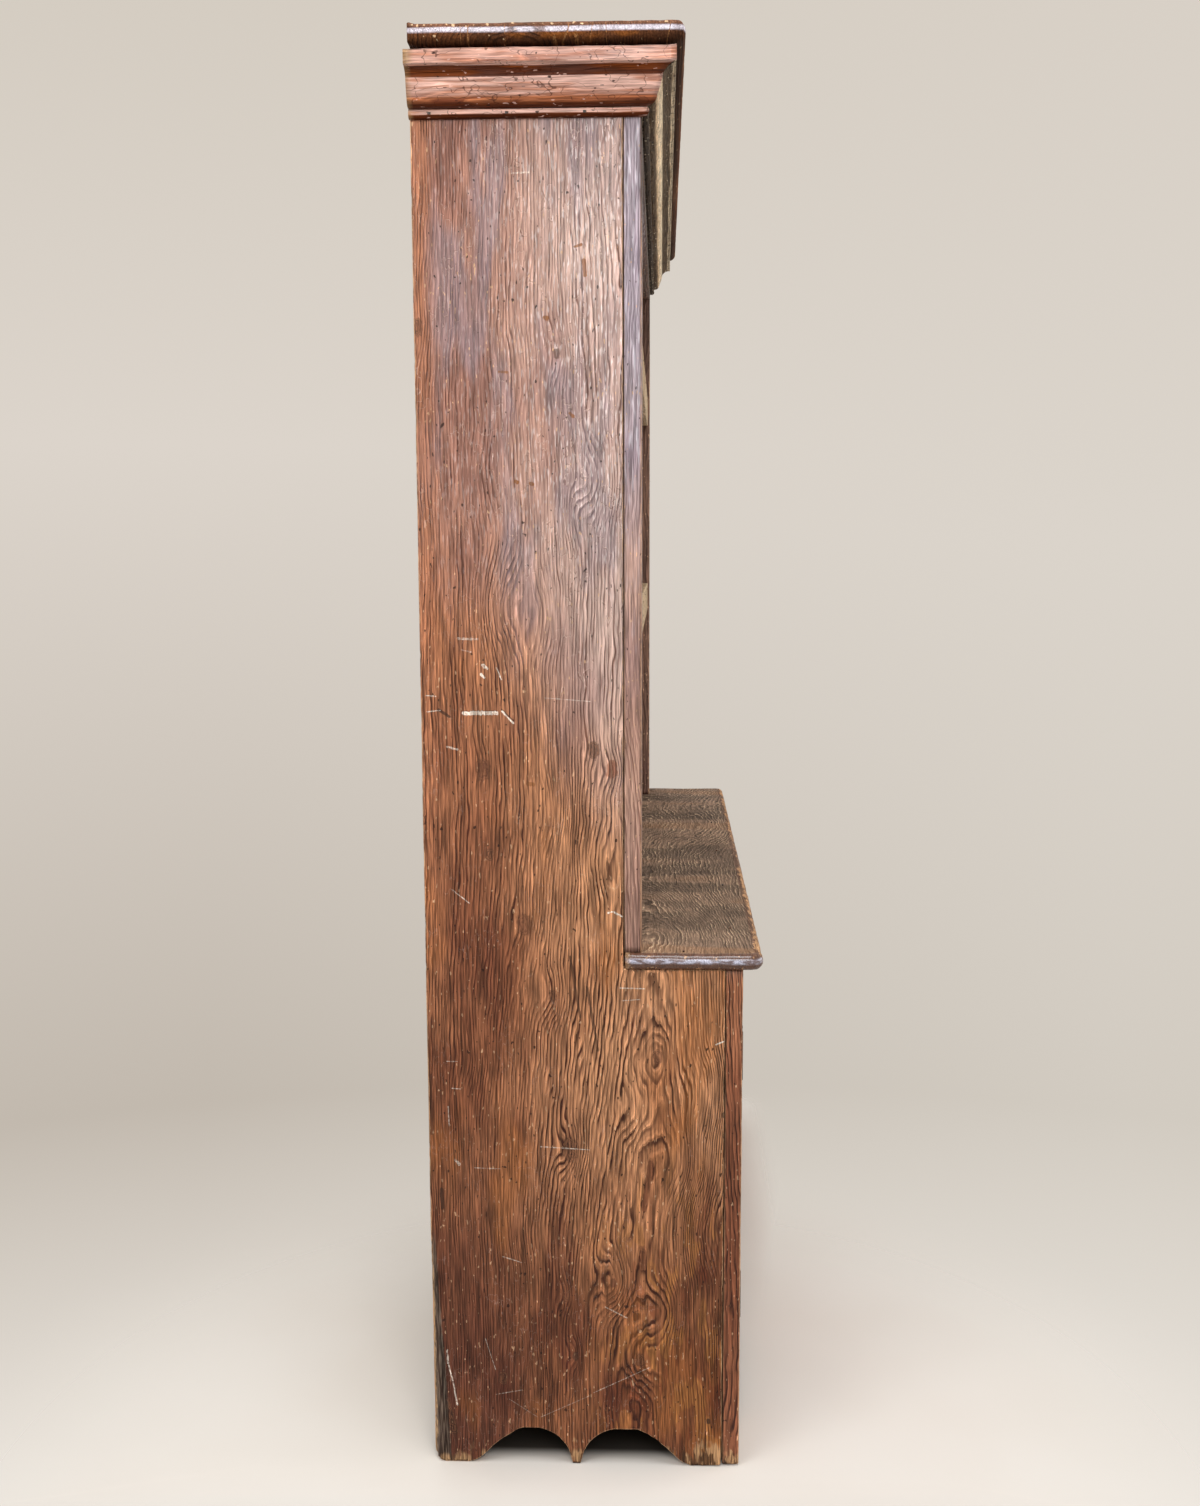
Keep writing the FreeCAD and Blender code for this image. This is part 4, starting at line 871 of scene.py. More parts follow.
def make_side(name, out, material, seed, carve):
    """A wide board, notched above the counter, with its rabbet for the backboards."""
    (start, drop_start, *_), (drop_end, end, *_) = ARCHES
    y_lines = merge(lines(frame_edge, start, 0.006), lines(start, upper_back, 0.005),
                    lines(upper_back, drop_start, 0.005), lines(drop_start, drop_end, 0.0033),
                    lines(drop_end, end, 0.005), lines(end, rear_y, 0.006),
                    [rear_y + 0.0003], lines(rear_y + 0.0065, side_high.y, 0.0052))
    z_lines = merge(lines(0, BLEND_Z, 0.006), lines(BLEND_Z, step_z, 0.007),
                    lines(step_z, side_high.z, 0.007))
    log = Log(Z, Y, out, heart=(-0.10, 0.055), slope=0.022, seed=seed)
    rabbet = abs(box["backboard_1"][0].x)
    item = plate(
        name + "_board", y_lines, z_lines, (Y, Z, out), -side_low.x, -inner_x, log,
        seed, rounding=lambda place, mitre: 0.0012 if place[1] < 0.07 else 0.0024,
        keep=lambda y, z: z < step_z or y > upper_back, shape=side_shape,
        wear=0.0022, wave=0.0009, carve=carve, trim=worn_feet,
        hollow=lambda y, z: rabbet + inner_x if y > rear_y + 0.0001 and z > foot_z else 0.0)
    return dress(item, name, "red_washed_pine", material)


# Knots of the near side: y and z; in millimetres how far each reaches, how far it pushes the
# rings aside and the half width of its core, if it has one; how red the core is, 0 to 1.
KNOTS = [
    (0.240, 1.677, 30, 7, 7, 0.1), (0.149, 0.940, 16, 3, 5, 0.0), (0.060, 0.731, 32, 11, 5, 0.0),
    (-0.027, 1.064, 26, 7, 7, 1.0), (-0.001, 1.092, 20, 3, 7, 0.0), (0.101, 0.837, 26, 3, 9, 0.2),
    (0.157, 1.063, 34, 3, 9, 0.2), (-0.093, 0.641, 30, -9, 6, 0.1), (0.035, 0.498, 36, 12, 10, 0.0),
    (-0.027, 0.291, 42, 20, 4, 0.2), (0.042, 0.269, 26, 8, 5, 0.2), (0.029, 0.174, 22, 9, 4, 0.0),
    (0.139, 0.137, 18, 3, 6, 0.1), (-0.069, 0.168, 44, 17, 6, 0.1), (0.130, 1.291, 55, -16, 0, 0),
    (0.067, 1.277, 50, 13, 0, 0), (-0.166, 0.592, 50, -14, 0, 0), (-0.156, 0.376, 60, 16, 0, 0),
    (-0.008, 1.470, 45, 12, 0, 0), (0.048, 1.640, 32, 9, 4, 0.0), (0.024, 1.420, 32, -9, 0, 0),
    (-0.120, 0.480, 50, -11, 0, 0), (-0.060, 0.560, 40, 10, 0, 0), (-0.110, 0.250, 45, -12, 0, 0),
    (0.100, 1.620, 40, 8, 0, 0), (0.150, 1.480, 50, -9, 0, 0), (0.060, 1.000, 45, 9, 0, 0),
    (-0.010, 0.930, 40, -9, 0, 0), (0.180, 0.640, 45, 7, 0, 0), (0.110, 0.380, 50, -8, 0, 0),
]
# Marks on its face: y and z of both ends, the half width in millimetres and the strength.
PALE_MARKS = [
    (0.183, 1.144, 0.136, 1.1445, 3.0, 1.8), (0.129, 1.147, 0.113, 1.130, 1.4, 1.6),
    (0.155, 1.212, 0.149, 1.208, 2.3, 1.6), (0.158, 1.199, 0.153, 1.195, 2.0, 1.4),
    (0.136, 1.209, 0.129, 1.192, 0.9, 1.0), (0.190, 1.250, 0.163, 1.249, 1.8, 0.5),
    (0.236, 1.169, 0.223, 1.168, 1.1, 1.0), (0.236, 1.146, 0.217, 1.148, 0.9, 0.8),
    (0.208, 1.096, 0.193, 1.092, 1.6, 0.6), (-0.021, 0.855, -0.028, 0.857, 1.4, 1.5),
    (-0.028, 0.857, -0.041, 0.850, 1.4, 1.5), (0.204, 0.888, 0.179, 0.868, 0.8, 0.7),
    (0.068, 1.166, 0.004, 1.161, 0.8, 0.55), (0.216, 0.631, 0.201, 0.631, 0.8, 0.6),
    (0.215, 0.562, 0.214, 0.532, 0.8, 0.6), (0.209, 0.590, 0.196, 0.589, 0.8, 0.5),
    (0.079, 0.502, 0.007, 0.498, 0.9, 0.8), (-0.038, 0.744, -0.074, 0.743, 1.0, 0.75),
    (-0.041, 0.725, -0.067, 0.727, 0.9, 0.6), (-0.177, 0.660, -0.195, 0.668, 1.2, 1.1),
    (0.082, 0.075, 0.010, 0.110, 0.6, 0.35), (0.002, 0.116, -0.082, 0.158, 0.7, 0.45),
    (0.130, 0.103, 0.088, 0.075, 0.6, 0.3), (0.223, 0.180, 0.2215, 0.158, 1.5, 0.9),
    (0.221, 0.156, 0.215, 0.130, 1.2, 0.9), (0.2145, 0.127, 0.209, 0.092, 1.3, 0.9),
    (0.177, 0.468, 0.140, 0.467, 0.8, 0.5), (0.137, 0.330, 0.109, 0.321, 0.9, 0.6),
    (0.107, 1.879, 0.084, 1.880, 1.3, 0.8), (0.185, 1.234, 0.172, 1.231, 1.0, 0.6),
    (-0.015, 0.253, -0.048, 0.236, 0.8, 0.6), (0.165, 0.200, 0.150, 0.150, 0.6, 0.6),
    (0.150, 0.110, 0.110, 0.118, 0.6, 0.5), (0.206, 0.480, 0.200, 0.473, 2.0, 0.7),
]
DARK_MARKS = [
    (0.232, 0.200, 0.224, 0.075, 4.5, 0.75), (0.226, 0.100, 0.214, 0.050, 6.5, 0.75),
    (0.227, 0.434, 0.226, 0.405, 3.0, 0.8), (0.219, 1.149, 0.204, 1.139, 2.4, 0.8),
    (0.130, 1.150, 0.112, 1.133, 1.0, 0.8), (0.183, 1.147, 0.136, 1.1475, 0.8, 0.6),
    (-0.190, 0.556, -0.190, 0.552, 3.0, 0.9), (-0.170, 0.075, -0.170, 0.071, 3.0, 0.9),
    (0.034, 0.790, 0.020, 0.700, 2.0, 0.7), (0.010, 0.745, -0.006, 0.650, 2.2, 0.7),
    (-0.086, 0.750, -0.087, 0.640, 1.5, 0.7), (0.240, 0.610, 0.240, 0.520, 2.5, 0.5),
]
# Rubbed red patches between the knots low on the board.
RUBBED_MARKS = [
    (-0.083, 0.478, -0.073, 0.408, 5.0, 0.85), (-0.072, 0.346, -0.072, 0.316, 5.5, 0.85),
]
# Dents, which are carved as well as darkened.
GOUGES = [
    (0.010, 1.764, 0.008, 1.744, 2.8, 0.9), (0.022, 1.782, 0.013, 1.785, 2.0, 0.9),
    (0.063, 1.689, 0.061, 1.688, 3.6, 1.0), (0.106, 1.468, 0.104, 1.467, 3.0, 1.0),
    (0.085, 1.465, 0.083, 1.464, 3.0, 1.0), (0.093, 1.043, 0.086, 1.042, 3.4, 0.8),
    (0.127, 1.617, 0.116, 1.616, 2.0, 0.8), (0.030, 1.560, 0.026, 1.556, 2.6, 0.9),
]


def bend_rings(item):
    """How far the knots push the rings aside at every point of the board."""
    places = np.array([point.co for point in item.data.vertices])
    bend = np.zeros(len(places))
    for y, z, reach, push, _, _ in KNOTS:
        distance = np.hypot(places[:, 1] - y, (places[:, 2] - z) * 0.55)
        near = np.clip(1 - distance / (reach * MM), 0, 1)
        bend += push * MM * near * near * (3 - 2 * near)
    layer = item.data.attributes.new("bend", "FLOAT", "POINT")
    layer.data.foreach_set("value", bend.astype(np.float32))


def mark_faces(item, name, marks):
    """Every outer face carries the nearest of the marks that reach it."""
    faces = item.data.polygons
    centres = np.array([face.center for face in faces])[:, 1:]
    outer = np.array([face.normal.x < -0.3 for face in faces])
    nearest = np.full(len(faces), 0.010)
    found = {part: np.zeros((len(faces), 3)) for part in ("start", "end", "colour")}
    for (y0, z0, y1, z1, half, strength), colour in marks:
        start, run = np.array((y0, z0)), np.array((y1 - y0, z1 - z0))
        share = np.clip((centres - start) @ run / max(run @ run, 1e-9), 0, 1)
        reach = np.linalg.norm(centres - start - share[:, None] * run, axis=1) - half * MM
        closer = outer & (reach < nearest)
        nearest[closer] = reach[closer]
        found["start"][closer] = (y0, z0, half * MM)
        found["end"][closer] = (y1, z1, strength)
        found["colour"][closer] = linear(*colour)[:3]
    for part, values in found.items():
        layer = item.data.attributes.new(f"{name}_{part}", "FLOAT_VECTOR", "FACE")
        layer.data.foreach_set("vector", values.astype(np.float32).ravel())


def mark_near_side(item):
    """Knots and marks of the near side, the dark ones under and the pale ones over the rest."""
    bend_rings(item)
    under = [(mark, (52, 36, 28)) for mark in DARK_MARKS]
    under += [(mark, (146, 92, 54)) for mark in GOUGES]
    under += [(mark, (138, 86, 58)) for mark in RUBBED_MARKS]
    for y, z, _, _, core, red in KNOTS:
        if core:
            ink = (128, 62, 38) if red > 0.5 else (60 + 160 * red, 40 + 70 * red, 32 + 40 * red)
            under.append(((y, z - core * 0.7 * MM, y, z + core * 0.7 * MM, core * 1.3, 0.72), ink))
    mark_faces(item, "under", under)
    mark_faces(item, "over", [(mark, (240, 222, 204)) for mark in PALE_MARKS])


GOUGE_DEPTH, WANE_WIDTH, WANE_TOP = 0.0011, 0.010, 0.37


def near_carve(y, z):
    """Dents of the near side: the gouges, and the wane low on the back edge."""
    depth = 0.0
    for y0, z0, y1, z1, half, _ in GOUGES:
        reach = math.hypot(y - (y0 + y1) / 2, (z - (z0 + z1) / 2) * 0.5)
        depth += GOUGE_DEPTH * math.exp(-(reach / (half * 2.2 * MM)) ** 2)
    wane = WANE_WIDTH * max(0.0, min(1.0, (WANE_TOP - z) / 0.12))
    if wane:
        depth += max(0.0, y - (side_high.y - wane)) * 0.9
    return depth


def worn_feet(y, z):
    """Worn corners of the feet, at the back edge and at the front."""
    corners = ((side_high.y, 0.0065, 0.0085), (frame_edge, 0.002, 0.020))
    return sum(depth * math.exp(-(math.hypot(y - place, z) / reach) ** 2)
               for place, depth, reach in corners)


mark_near_side(make_side("side_left", -X, "near_side", 1, near_carve))
make_side("side_right", X, "far_side", 2, nothing)


# --- boards ---

dice = random.Random(7)
# The two directions of a board's grid and the way its face looks.
AXES = {"front": (X, Z, -Y), "up": (X, Y, Z), "rear": (X, Z, Y)}


def board(node, faces, along, slot, material, body="case", spans=None, **more):
    """A board in the place of a CAD node; spans give the part of it that shows, by axis."""
    axes = AXES[faces]
    out = axes[2]
    low, high = box[node]
    spans = spans or {}
    grids = []
    for axis in axes[:2]:
        index = max(range(3), key=lambda k: abs(axis[k]))
        grids.append(lines(*spans.get(index, (low[index], high[index])), 0.009))
    back, front = sorted((low @ out, high @ out))
    across = axes[1] if along == axes[0] else axes[0]
    log = Log(along, across, out, heart=(dice.uniform(-0.16, 0.16), dice.uniform(0.03, 0.12)),
              slope=dice.uniform(-0.025, 0.025), seed=dice.randint(3, 90))
    item = plate(node + "_board", *grids, axes, front, back, log, dice.randint(0, 99), **more)
    return dress(item, node, slot, material, body)


def frame_board(node, along, **more):
    """A board of the front frames or of a door."""
    board(node, "front", along, "red_washed_pine", "frame", **more)


stile_inner = box["upper_stile_left"][1].x
lower_stile_inner = box["lower_stile_left"][1].x
opening_low = box["apron"][1].z
opening_high = box["top_rail"][0].z

for side in ("left", "right"):
    frame_board(f"upper_stile_{side}", Z, rounding=0.0018)
    frame_board(f"lower_stile_{side}", Z, rounding=0.0018,
                trim=lambda a, b: 0.003 * math.exp(-(b / 0.015) ** 2))
frame_board("frieze_rail", X, spans={0: (stile_inner, -stile_inner)})
frame_board("top_rail", X, spans={0: (lower_stile_inner, -lower_stile_inner)})
frame_board("mullion", Z, spans={2: (opening_low, opening_high)})
board("door_stop", "front", X, "bare_shelf", "inside")
for name in ("upper_shelf", "middle_shelf"):
    board(name, "up", X, "bare_shelf", "shelf", spans={0: (inner_x, -inner_x)})
    board(name + "_lip", "front", X, "bare_shelf", "shelf", rounding=0.0022, wear=0.0025)
board("bottom_board", "up", X, "bare_shelf", "inside", spans={0: (inner_x, -inner_x)})
board("lower_shelf", "up", X, "bare_shelf", "inside")


# --- the apron, the back, the counter and the top ---

ARCH_COUNT = 4
DROP = 0.013
OUTER_RUN, INNER_RUN = 0.068, 0.050
OUTER_BOW, INNER_BOW = 0.005, 0.013
APRON_FOOT = 0.025


def make_apron():
    """A row of scallops between two straight feet, its outer curves like those of the sides."""
    low = lower_stile_inner + APRON_FOOT
    width = (-2 * low - DROP * (ARCH_COUNT - 1)) / ARCH_COUNT
    arches, spans = [], [lines(lower_stile_inner, low, 0.006)]
    for k in range(ARCH_COUNT):
        start = low + (width + DROP) * k
        end = start + width
        outer = (k == 0, k == ARCH_COUNT - 1)
        arches.append((start, end, *(OUTER_RUN if far else INNER_RUN for far in outer),
                       *(OUTER_BOW if far else INNER_BOW for far in outer)))
        spans += [lines(start, end, 0.0055), lines(end, end + DROP, 0.0033)]
    # The other foot follows the last arch, not a drop.
    spans[-1] = lines(-low, -lower_stile_inner, 0.006)
    profile = arch_profile(arches, ARCH_TOP)
    low, high = box["apron"]
    log = Log(X, Z, -Y, heart=(0.06, 0.07), slope=0.012, seed=41)
    rows = merge(lines(0, BLEND_Z, 0.007), lines(BLEND_Z, high.z, 0.007))
    item = plate("apron_board", merge(*spans), rows, AXES["front"], -low.y, -high.y, log,
                 seed=5, rounding=0.0012, wear=0.002,
                 shape=lambda x, row: (x, above_scallops(profile(x), row)))
    dress(item, "apron", "red_washed_pine", "frame")


def make_backboard(node, index, count):
    """A shiplapped board: each lap is half as thick as the board."""
    low, high = box[node]
    lap, gap = 0.008, 0.0006
    half = (high.y - low.y) / 2
    rear_end = high.x - lap - gap if index < count else high.x + 1
    front_start = low.x + lap + gap if index > 1 else low.x - 1
    spans = [low.x] + ([front_start - 0.0002, front_start] if index > 1 else [])
    inner = [rear_end, rear_end + 0.0002, high.x] if index < count else [high.x]
    spans = merge(spans, lines(spans[-1], inner[0], 0.016)[1:-1], inner)
    log = Log(Z, X, Y, heart=(dice.uniform(-0.1, 0.1), dice.uniform(0.03, 0.08)),
              slope=dice.uniform(-0.03, 0.03), seed=dice.randint(3, 90))
    item = plate(node + "_board", spans, lines(low.z, high.z, 0.02), AXES["rear"], high.y, low.y, log,
                 seed=index, rounding=0.0026,
                 carve=lambda x, z: half if x > rear_end + 0.0001 else 0.0,
                 hollow=lambda x, z: half if x < front_start - 0.0001 else 0.0)
    dress(item, node, "back_boards", "backs")


NOSE = 0.0108
NOSE_STRIP, NOSE_FIRST = 0.017, 0.024


def nosed(low, high, *inner):
    """Grid lines with clear strips for round noses at an end, or at both if high is given."""
    first = [low, low + NOSE_STRIP]
    last = [] if high is None else [high - NOSE_STRIP, high]
    return merge(first, *inner, last)


def corner_shape(reach, front, corner):
    """Round the two front corners in plan: squares round them become circles."""
    def shape(x, y):
        away_x = abs(x) - (reach - corner)
        away_y = (front + corner) - y
        if away_x <= 0 or away_y <= 0:
            return (x, y)
        scale = max(away_x, away_y) / math.hypot(away_x, away_y)
        return (math.copysign(reach - corner + away_x * scale, x), front + corner - away_y * scale)
    return shape


def make_counter():
    """The thick board at the step: nosed at its front and ends and notched round the sides."""
    low, high = box["counter"]
    x_lines = nosed(low.x, high.x, lines(low.x + NOSE_FIRST, inner_x, 0.006),
                    lines(inner_x, -inner_x, 0.012), lines(-inner_x, high.x - NOSE_FIRST, 0.006))
    y_lines = nosed(low.y, None, lines(low.y + NOSE_FIRST, upper_back, 0.009),
                    lines(upper_back, high.y, 0.014))
    log = Log(X, Y, Z, heart=(-0.05, 0.05), slope=0.02, seed=11, calm=1.5)

    def carve(x, y):
        hollow = 0.0008 * math.exp(-((y + 0.15) / 0.05) ** 2)
        crack = 0.0011 * max(0.0, noise.noise(Vector((x * 6, y * 60, 4))) - 0.25)
        return hollow + crack

    def trim(x, y):
        horn = math.exp(-(math.hypot(abs(x) - high.x, y - upper_back) / 0.010) ** 2)
        return (0.004 if x < 0 else 0.002) * horn

    def rounding(place, mitre):
        on_end = abs(place[0]) > -side_low.x + 0.005 and mitre[1] < 0.5
        return NOSE if mitre[1] < -0.3 or on_end else 0.002

    item = plate("counter_slab", x_lines, y_lines, AXES["up"], high.z, low.z, log,
                 seed=12, rounding=rounding, arc=5, wear=0.0028, wave=0.0014,
                 keep=lambda x, y: y < upper_back or abs(x) < -inner_x,
                 shape=corner_shape(high.x, low.y, 0.015), carve=carve, trim=trim)
    dress(item, "counter", "counter_board", "counter")


def make_top_board():
    """The board over the cornice, nosed at its front and ends."""
    low, high = box["top_board"]
    x_lines = nosed(low.x, high.x, lines(low.x + NOSE_FIRST, high.x - NOSE_FIRST, 0.014))
    y_lines = nosed(low.y, None, lines(low.y + NOSE_FIRST, high.y, 0.010))
    log = Log(X, Y, Z, heart=(0.04, 0.06), slope=0.015, seed=13, calm=0.35)
    item = plate("top_slab", x_lines, y_lines, AXES["up"], high.z, low.z, log,
                 seed=14, rounding=lambda place, mitre: 0.002 if mitre[1] > 0.5 else 0.0120,
                 arc=5, wear=0.002, wave=0.0007, shape=corner_shape(high.x, low.y, 0.010))
    dress(item, "top_board", "top_board", "top")


make_apron()
for index in range(1, 7):
    make_backboard(f"backboard_{index}", index, 6)
make_counter()
make_top_board()


# --- the cornice ---

def bowed(corners, step=0.003):
    """Corners (projection, height, bow of the curve to the next) as close points."""
    points = []
    for (q0, h0, bow), (q1, h1, _) in zip(corners, corners[1:] + corners[:1]):
        run = np.array((q1 - q0, h1 - h0))
        length = np.hypot(*run)
        outward = np.array((run[1], -run[0])) / length
        count = max(1, round(length / step)) if bow or length > 2 * step else 1
        for k in range(count):
            share = k / count
            points.append(np.array((q0, h0)) + run * share + outward * 4 * bow * share * (1 - share))
    return points


# The sections by bowed(); the bow is that of the curve from a corner to the next.
CROWN = [(0, 0, 0), (0.0105, 0, 0.003), (0.021, 0.012, 0.001), (0.028, SWELL_TOP, -0.002),
         (0.043, COVE_TOP, 0), (0.046, COVE_TOP, 0), (0.046, 0.067, 0), (0, 0.067, 0)]
BEAD = [(0, 0, 0), (0.0065, 0, 0.0035), (0.0065, 0.012, 0), (0, 0.012, 0)]


def moulding(node, corners, out, along, wall, span, mitres, seed, material):
    """A straight moulding; a mitred end runs on as far as its section projects."""
    profile = bowed(corners)
    count = len(profile)
    base = box[node][0].z
    top = corners[-1][1]
    span_low, span_high = span
    rings = max(2, round((span_high - span_low) / 0.008))
    log = Log(along, Z, out, heart=(0.02, 0.05), slope=0.01, seed=seed)
    bends = []
    for k in range(count):
        first = profile[k] - profile[k - 1]
        second = profile[(k + 1) % count] - profile[k]
        bends.append(math.atan2(first[0] * second[1] - first[1] * second[0], float(first @ second)))
    points, edge, faces = [], [], []
    for ring in range(rings + 1):
        share = ring / rings
        for k, (q, h) in enumerate(profile):
            start = span_low - (q if mitres[0] else 0)
            end = span_high + (q if mitres[1] else 0)
            spot = along * (start + (end - start) * share)
            rough = noise.noise(spot * 45 + Vector((k * 0.7, seed, 5)))
            slow = noise.noise(spot * 9 + Vector((k * 0.15, seed, 9)))
            sharp = max(0.0, bends[k]) / (math.pi / 2)
            run = profile[(k + 1) % count] - profile[k - 1]
            normal = np.array((run[1], -run[0])) / np.hypot(*run)
            on_mitre = mitres[0] and ring == 0 or mitres[1] and ring == rings
            on_wall = q <= 0.0005
            on_top = k > 0 and h > top - 0.0001 and q < 0.03
            sunk = 0.0004 * (1 + slow) + sharp * (0.0006 + 0.0016 * max(0.0, rough + 0.1))
            if on_mitre or on_wall or on_top:
                sunk = 0.0
            q, h = np.array((q, h)) - normal * sunk
            points.append(spot + out * (wall + max(q, 0.0)) + Z * (base + min(max(h, 0), top)))
            square_end = (ring == 0 and not mitres[0]) or (ring == rings and not mitres[1])
            edge.append((min(1.0, sharp * 1.1), float(square_end), 0.0))
    for ring in range(rings):
        for k in range(count):
            after = (k + 1) % count
            faces.append([ring * count + k, ring * count + after,
                          (ring + 1) * count + after, (ring + 1) * count + k])
    faces.append(list(range(count))[::-1])
    faces.append(list(range(rings * count, (rings + 1) * count)))
    item = make_object(node + "_strip", points, faces, log, edge)
    recalculate(item)
    dress(item, node, "red_cornice", material)


def recalculate(item):
    """Turn all faces outwards."""
    mesh = bmesh.new()
    mesh.from_mesh(item.data)
    bmesh.ops.recalc_face_normals(mesh, faces=mesh.faces)
    mesh.to_mesh(item.data)
    mesh.free()


def make_cornice():
    """The crown and its bead run round the front and both sides, mitred at the corners."""
    face = -box["upper_stile_left"][0].y
    rear = side_high.y
    half = -side_low.x
    for name, corners in (("crown", CROWN), ("bead", BEAD)):
        moulding(name + "_front", corners, -Y, X, face, (-half, half), (True, True), 21,
                 "cornice_front")
        for side, out, seed in (("_left", -X, 22), ("_right", X, 23)):
            moulding(name + side, corners, out, Y, half, (-face, rear), (True, False), seed,
                     "cornice")


make_cornice()


# --- the doors ---

def make_panel(name, side):
    """A raised field with a small step and wide bevels, its tongue hidden in the grooves."""
    low, high = box[name]
    tongue, bevel, rise = 0.009, 0.042, 0.006
    step, step_run = 0.0018, 0.0008
    grids = []
    for axis in (0, 2):
        start, end = low[axis], high[axis]
        grids.append(merge([start], lines(start + tongue, start + tongue + bevel - step_run, 0.0105),
                           lines(start + tongue + bevel, end - tongue - bevel, 0.012),
                           lines(end - tongue - bevel + step_run, end - tongue, 0.0105), [end]))

    def reach(x, z):
        return min(x - low.x, high.x - x, z - low.z, high.z - z) - tongue

    def carve(x, z):
        if reach(x, z) > bevel - step_run / 2:
            return 0.0
        return step + (rise - step) * (1 - max(reach(x, z) / (bevel - step_run), 0.0))

    # Where the wood gets painted shade: at the field's step and where the bevel meets the rails.
    def crease_shade_at(x, z):
        return float(abs(reach(x, z) - bevel) < 2 * step_run or abs(reach(x, z)) < step_run)

    log = Log(Z, X, -Y, heart=(dice.uniform(-0.05, 0.05), 0.04), slope=0.03, seed=dice.randint(3, 90))
    item = plate(name + "_board", *grids, AXES["front"], -low.y, -high.y, log,
                 seed=dice.randint(0, 99), rounding=0.001, wear=0.0004, carve=carve, crease_shade_at=crease_shade_at)
    dress(item, name, "red_washed_pine", "frame", side + "_door")


def make_door(side):
    """Two stiles, and the rails and the panel between them."""
    name = side + "_door_"
    body = side + "_door"
    stiles = [name + "hinge_stile", name + "lock_stile"]
    inner_edges = sorted(corner.x for stile in stiles for corner in box[stile])[1:3]
    for stile in stiles:
        frame_board(stile, Z, body=body, rounding=0.0018)
    for part in ("top_rail", "bottom_rail"):
        frame_board(name + part, X, body=body, rounding=0.0018, spans={0: inner_edges})
    make_panel(name + "panel", side)


make_door("left")
make_door("right")


# --- what keeps its CAD shape ---

KEPT = {"turned": ["turn_button", "left_door_knob", "right_door_knob"],
        "hinge_iron": ["hinge_leaves_case", "left_door_hinge_leaves", "right_door_hinge_leaves",
                       "hinge_pins", "hinge_screws_case", "left_door_screws", "right_door_screws",
                       "button_screw"],
        "nail_iron": ["cornice_nails", "case_nails", "backboard_nails"],
        "peg": ["frame_pegs", "left_door_pegs", "right_door_pegs"],
        "inside": ["shelf_cleats"]}
for material, names in KEPT.items():
    for name in names:
        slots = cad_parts[name].data.materials
        for k in range(len(slots)):
            slots[k] = MATERIALS[material]


# --- light, backdrop and floor ---

def area_light(name, place, target, size, power, colour=(1, 1, 1)):
    data = bpy.data.lights.new(name, "AREA")
    data.shape = "RECTANGLE"
    data.size, data.size_y = size
    data.energy = power
    data.color = colour
    item = bpy.data.objects.new(name, data)
    item.location = place
    item.rotation_euler = (Vector(target) - Vector(place)).to_track_quat("-Z", "Y").to_euler()
    bpy.context.scene.collection.objects.link(item)


area_light("overhead", (-1.3, -0.1, 3.9), (-0.6, 0, 0.8), (1.5, 1.5), 66, (0.93, 0.96, 1.0))
area_light("camera_key", (-3.7, -0.5, 2.8), (-0.75, 0, 1.5), (1.4, 1.4), 60, (0.96, 0.98, 1.0))
area_light("side_key", (-3.2, 2.4, 2.6), (-0.7, 0, 1.0), (1.8, 2.2), 42)
area_light("front_fill", (0.3, -3.9, 1.6), (0, 0, 1.2), (2.6, 2.4), 76)
area_light("back_fill", (1.2, 3.8, 2.4), (0, 0, 1.0), (2.4, 2.4), 34)
area_light("far_fill", (3.6, 1.7, 2.2), (0, 0, 1.0), (2.4, 2.4), 40)

# The backdrop by the height of the view direction: wall, bend of the sweep, and floor.
BACKDROP = {
    "left": [(0.32, 212, 204, 193), (0.06, 220, 212, 203), (-0.34, 194, 185, 174),
             (-0.54, 236, 230, 222)],
    "right": [(0.32, 216, 208, 198), (0.0, 219, 212, 203), (-0.34, 210, 203, 193),
              (-0.54, 235, 229, 221)],
}


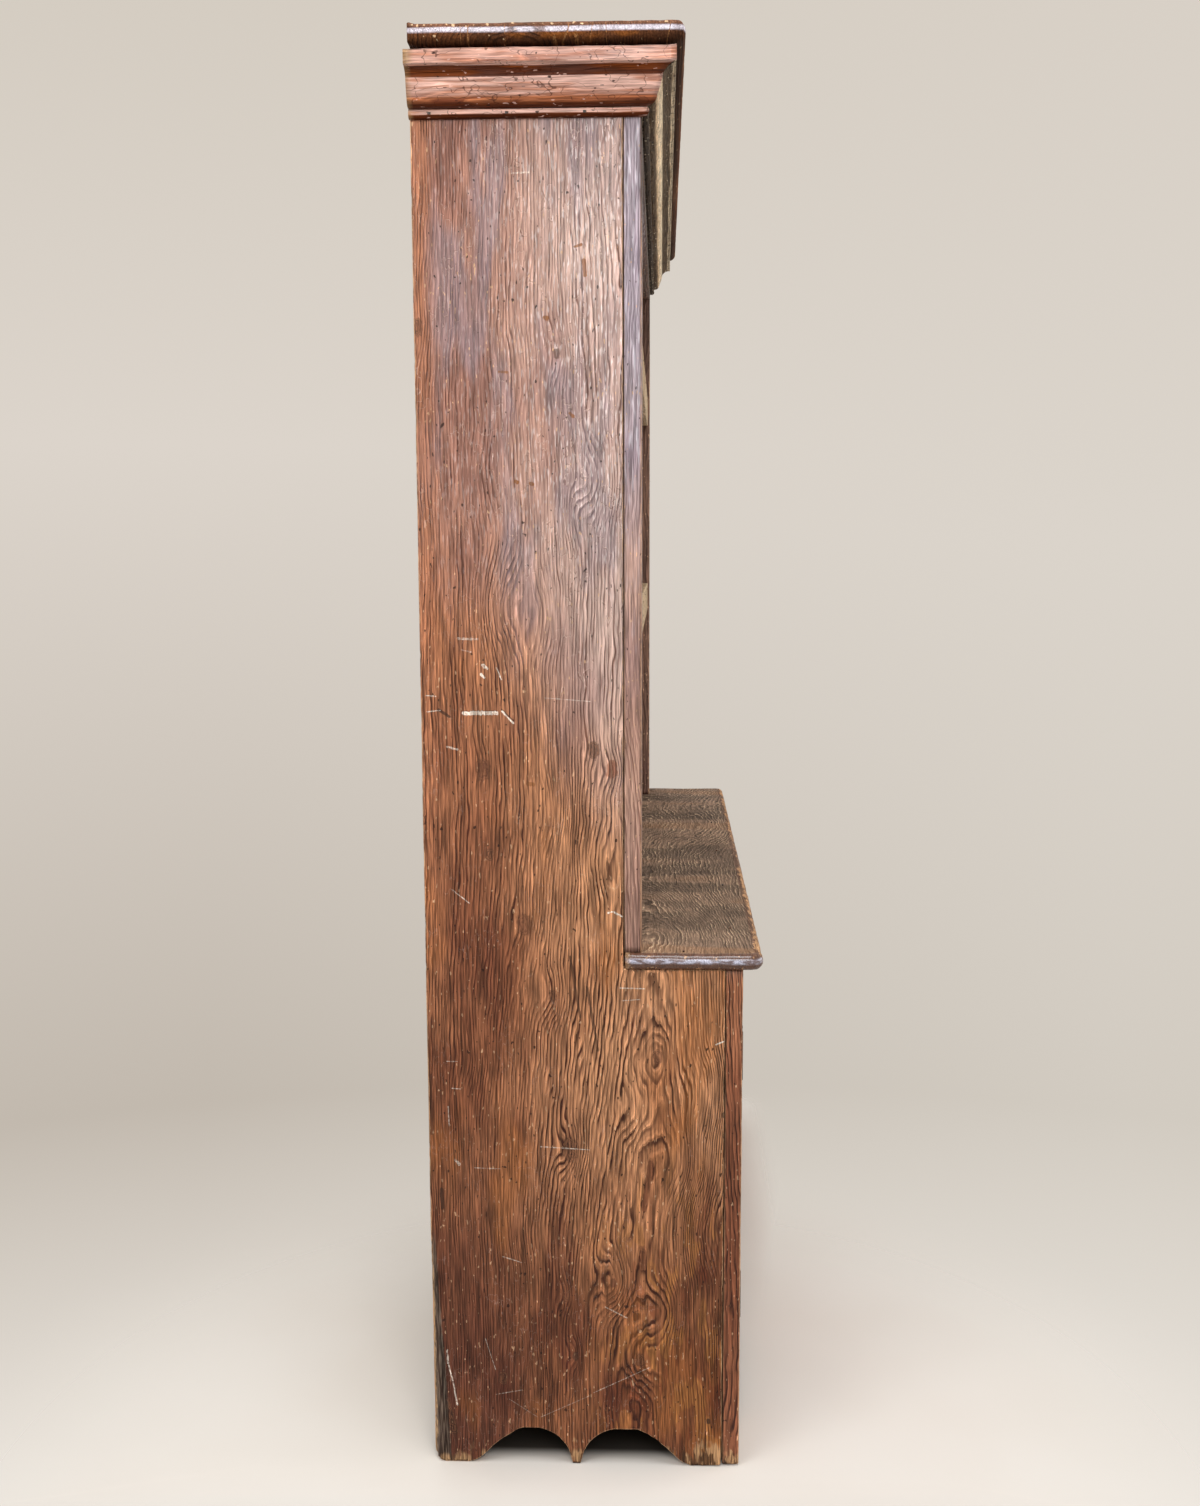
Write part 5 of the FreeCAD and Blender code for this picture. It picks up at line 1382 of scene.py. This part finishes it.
def make_world():
    """Even light; the camera and reflections see the pale studio backdrop."""
    g = Graph(bpy.data.worlds.new("studio"))
    bpy.context.scene.world = g.owner
    _, y, z = g.parts(g.place("Generated"))
    high, low = BACKDROP["left"][0][0], BACKDROP["left"][-1][0]
    height = g.smooth(z, high, low, kind="LINEAR")
    colours = []
    for stops in BACKDROP.values():
        ramp = g.shader("ShaderNodeValToRGB", Fac=height)
        elements = ramp.color_ramp.elements
        while len(elements) < len(stops):
            elements.new(0.5)
        for element, (level, *colour) in zip(elements, stops):
            element.position = (high - level) / (high - low)
            element.color = linear(*colour)
        colours.append(Value(g, ramp.outputs["Color"]))
    wall = g.mix(g.smooth(y, 0.28, -0.28, kind="LINEAR"), *colours)
    path = g.add("ShaderNodeLightPath").outputs
    camera, glossy, clear = (Value(g, path[f"Is {ray} Ray"])
                             for ray in ("Camera", "Glossy", "Transmission"))
    direct = g.math("MAXIMUM", g.math("MAXIMUM", camera, glossy), clear)
    even = g.shader("ShaderNodeBackground", Color=(1, 0.985, 0.96, 1), Strength=0.34)
    seen = g.shader("ShaderNodeBackground", Color=wall)
    g.output("ShaderNodeOutputWorld", g.blend(direct, even, seen))


make_world()


def floor_material():
    """Pale and dull, with a painted shadow under the cupboard, and clear towards the rim."""
    g = material_graph("floor")
    point = g.place()
    x, y, _ = g.parts(point)
    cloud = g.noise(point, (2.2, 2.2, 2.2), detail=2)
    colour = g.mix(g.smooth(cloud, 0.35, 0.65), (228, 221, 212), (225, 217, 207))
    # A painted shadow under the cupboard, dark from just inside its sides.
    shadow_under = (g.smooth(abs(x), -inner_x + 0.012, -inner_x - 0.020)
             * g.smooth(abs(y - 0.015), 0.225, 0.200))
    colour = g.mix(shadow_under * 0.97, colour, (34, 27, 20))
    shader = g.shader("ShaderNodeBsdfPrincipled", Base_Color=colour, Roughness=0.9,
                      Specular_IOR_Level=0.1)
    # It stays under the cupboard and round its near foot, but not on the camera's side of it.
    out_x = g.math("MAXIMUM", abs(x) + inner_x - 0.024, 0.0)
    out_y = g.math("MAXIMUM", abs(y) - side_high.y, 0.0)
    beside = g.math("SQRT", out_x * out_x + out_y * out_y)
    reach = g.vector_math("DISTANCE", point, (-0.75, 0, 0))
    fade = g.math("MINIMUM", g.smooth(reach, 0.5, 1.15), g.smooth(beside, 0.03, 0.12))
    fade = g.math("MAXIMUM", fade, g.smooth(x, -0.77, -0.96))
    clear = g.add("ShaderNodeBsdfTransparent")
    g.output("ShaderNodeOutputMaterial", g.blend(fade, shader, clear))
    return g.owner


def make_floor(radius=2.6, count=40):
    """A round floor as a fan of triangles."""
    mesh = bpy.data.meshes.new("floor")
    turns = [k * math.tau / count for k in range(count)]
    rim = [(radius * math.cos(turn), radius * math.sin(turn), 0) for turn in turns]
    fan = [(0, k + 1, (k + 1) % count + 1) for k in range(count)]
    mesh.from_pydata([(0, 0, 0)] + rim, [], fan)
    mesh.materials.append(floor_material())
    floor = bpy.data.objects.new("floor", mesh)
    bpy.context.scene.collection.objects.link(floor)


make_floor()


# --- the view layer brought up to date ---

bpy.context.view_layer.update()
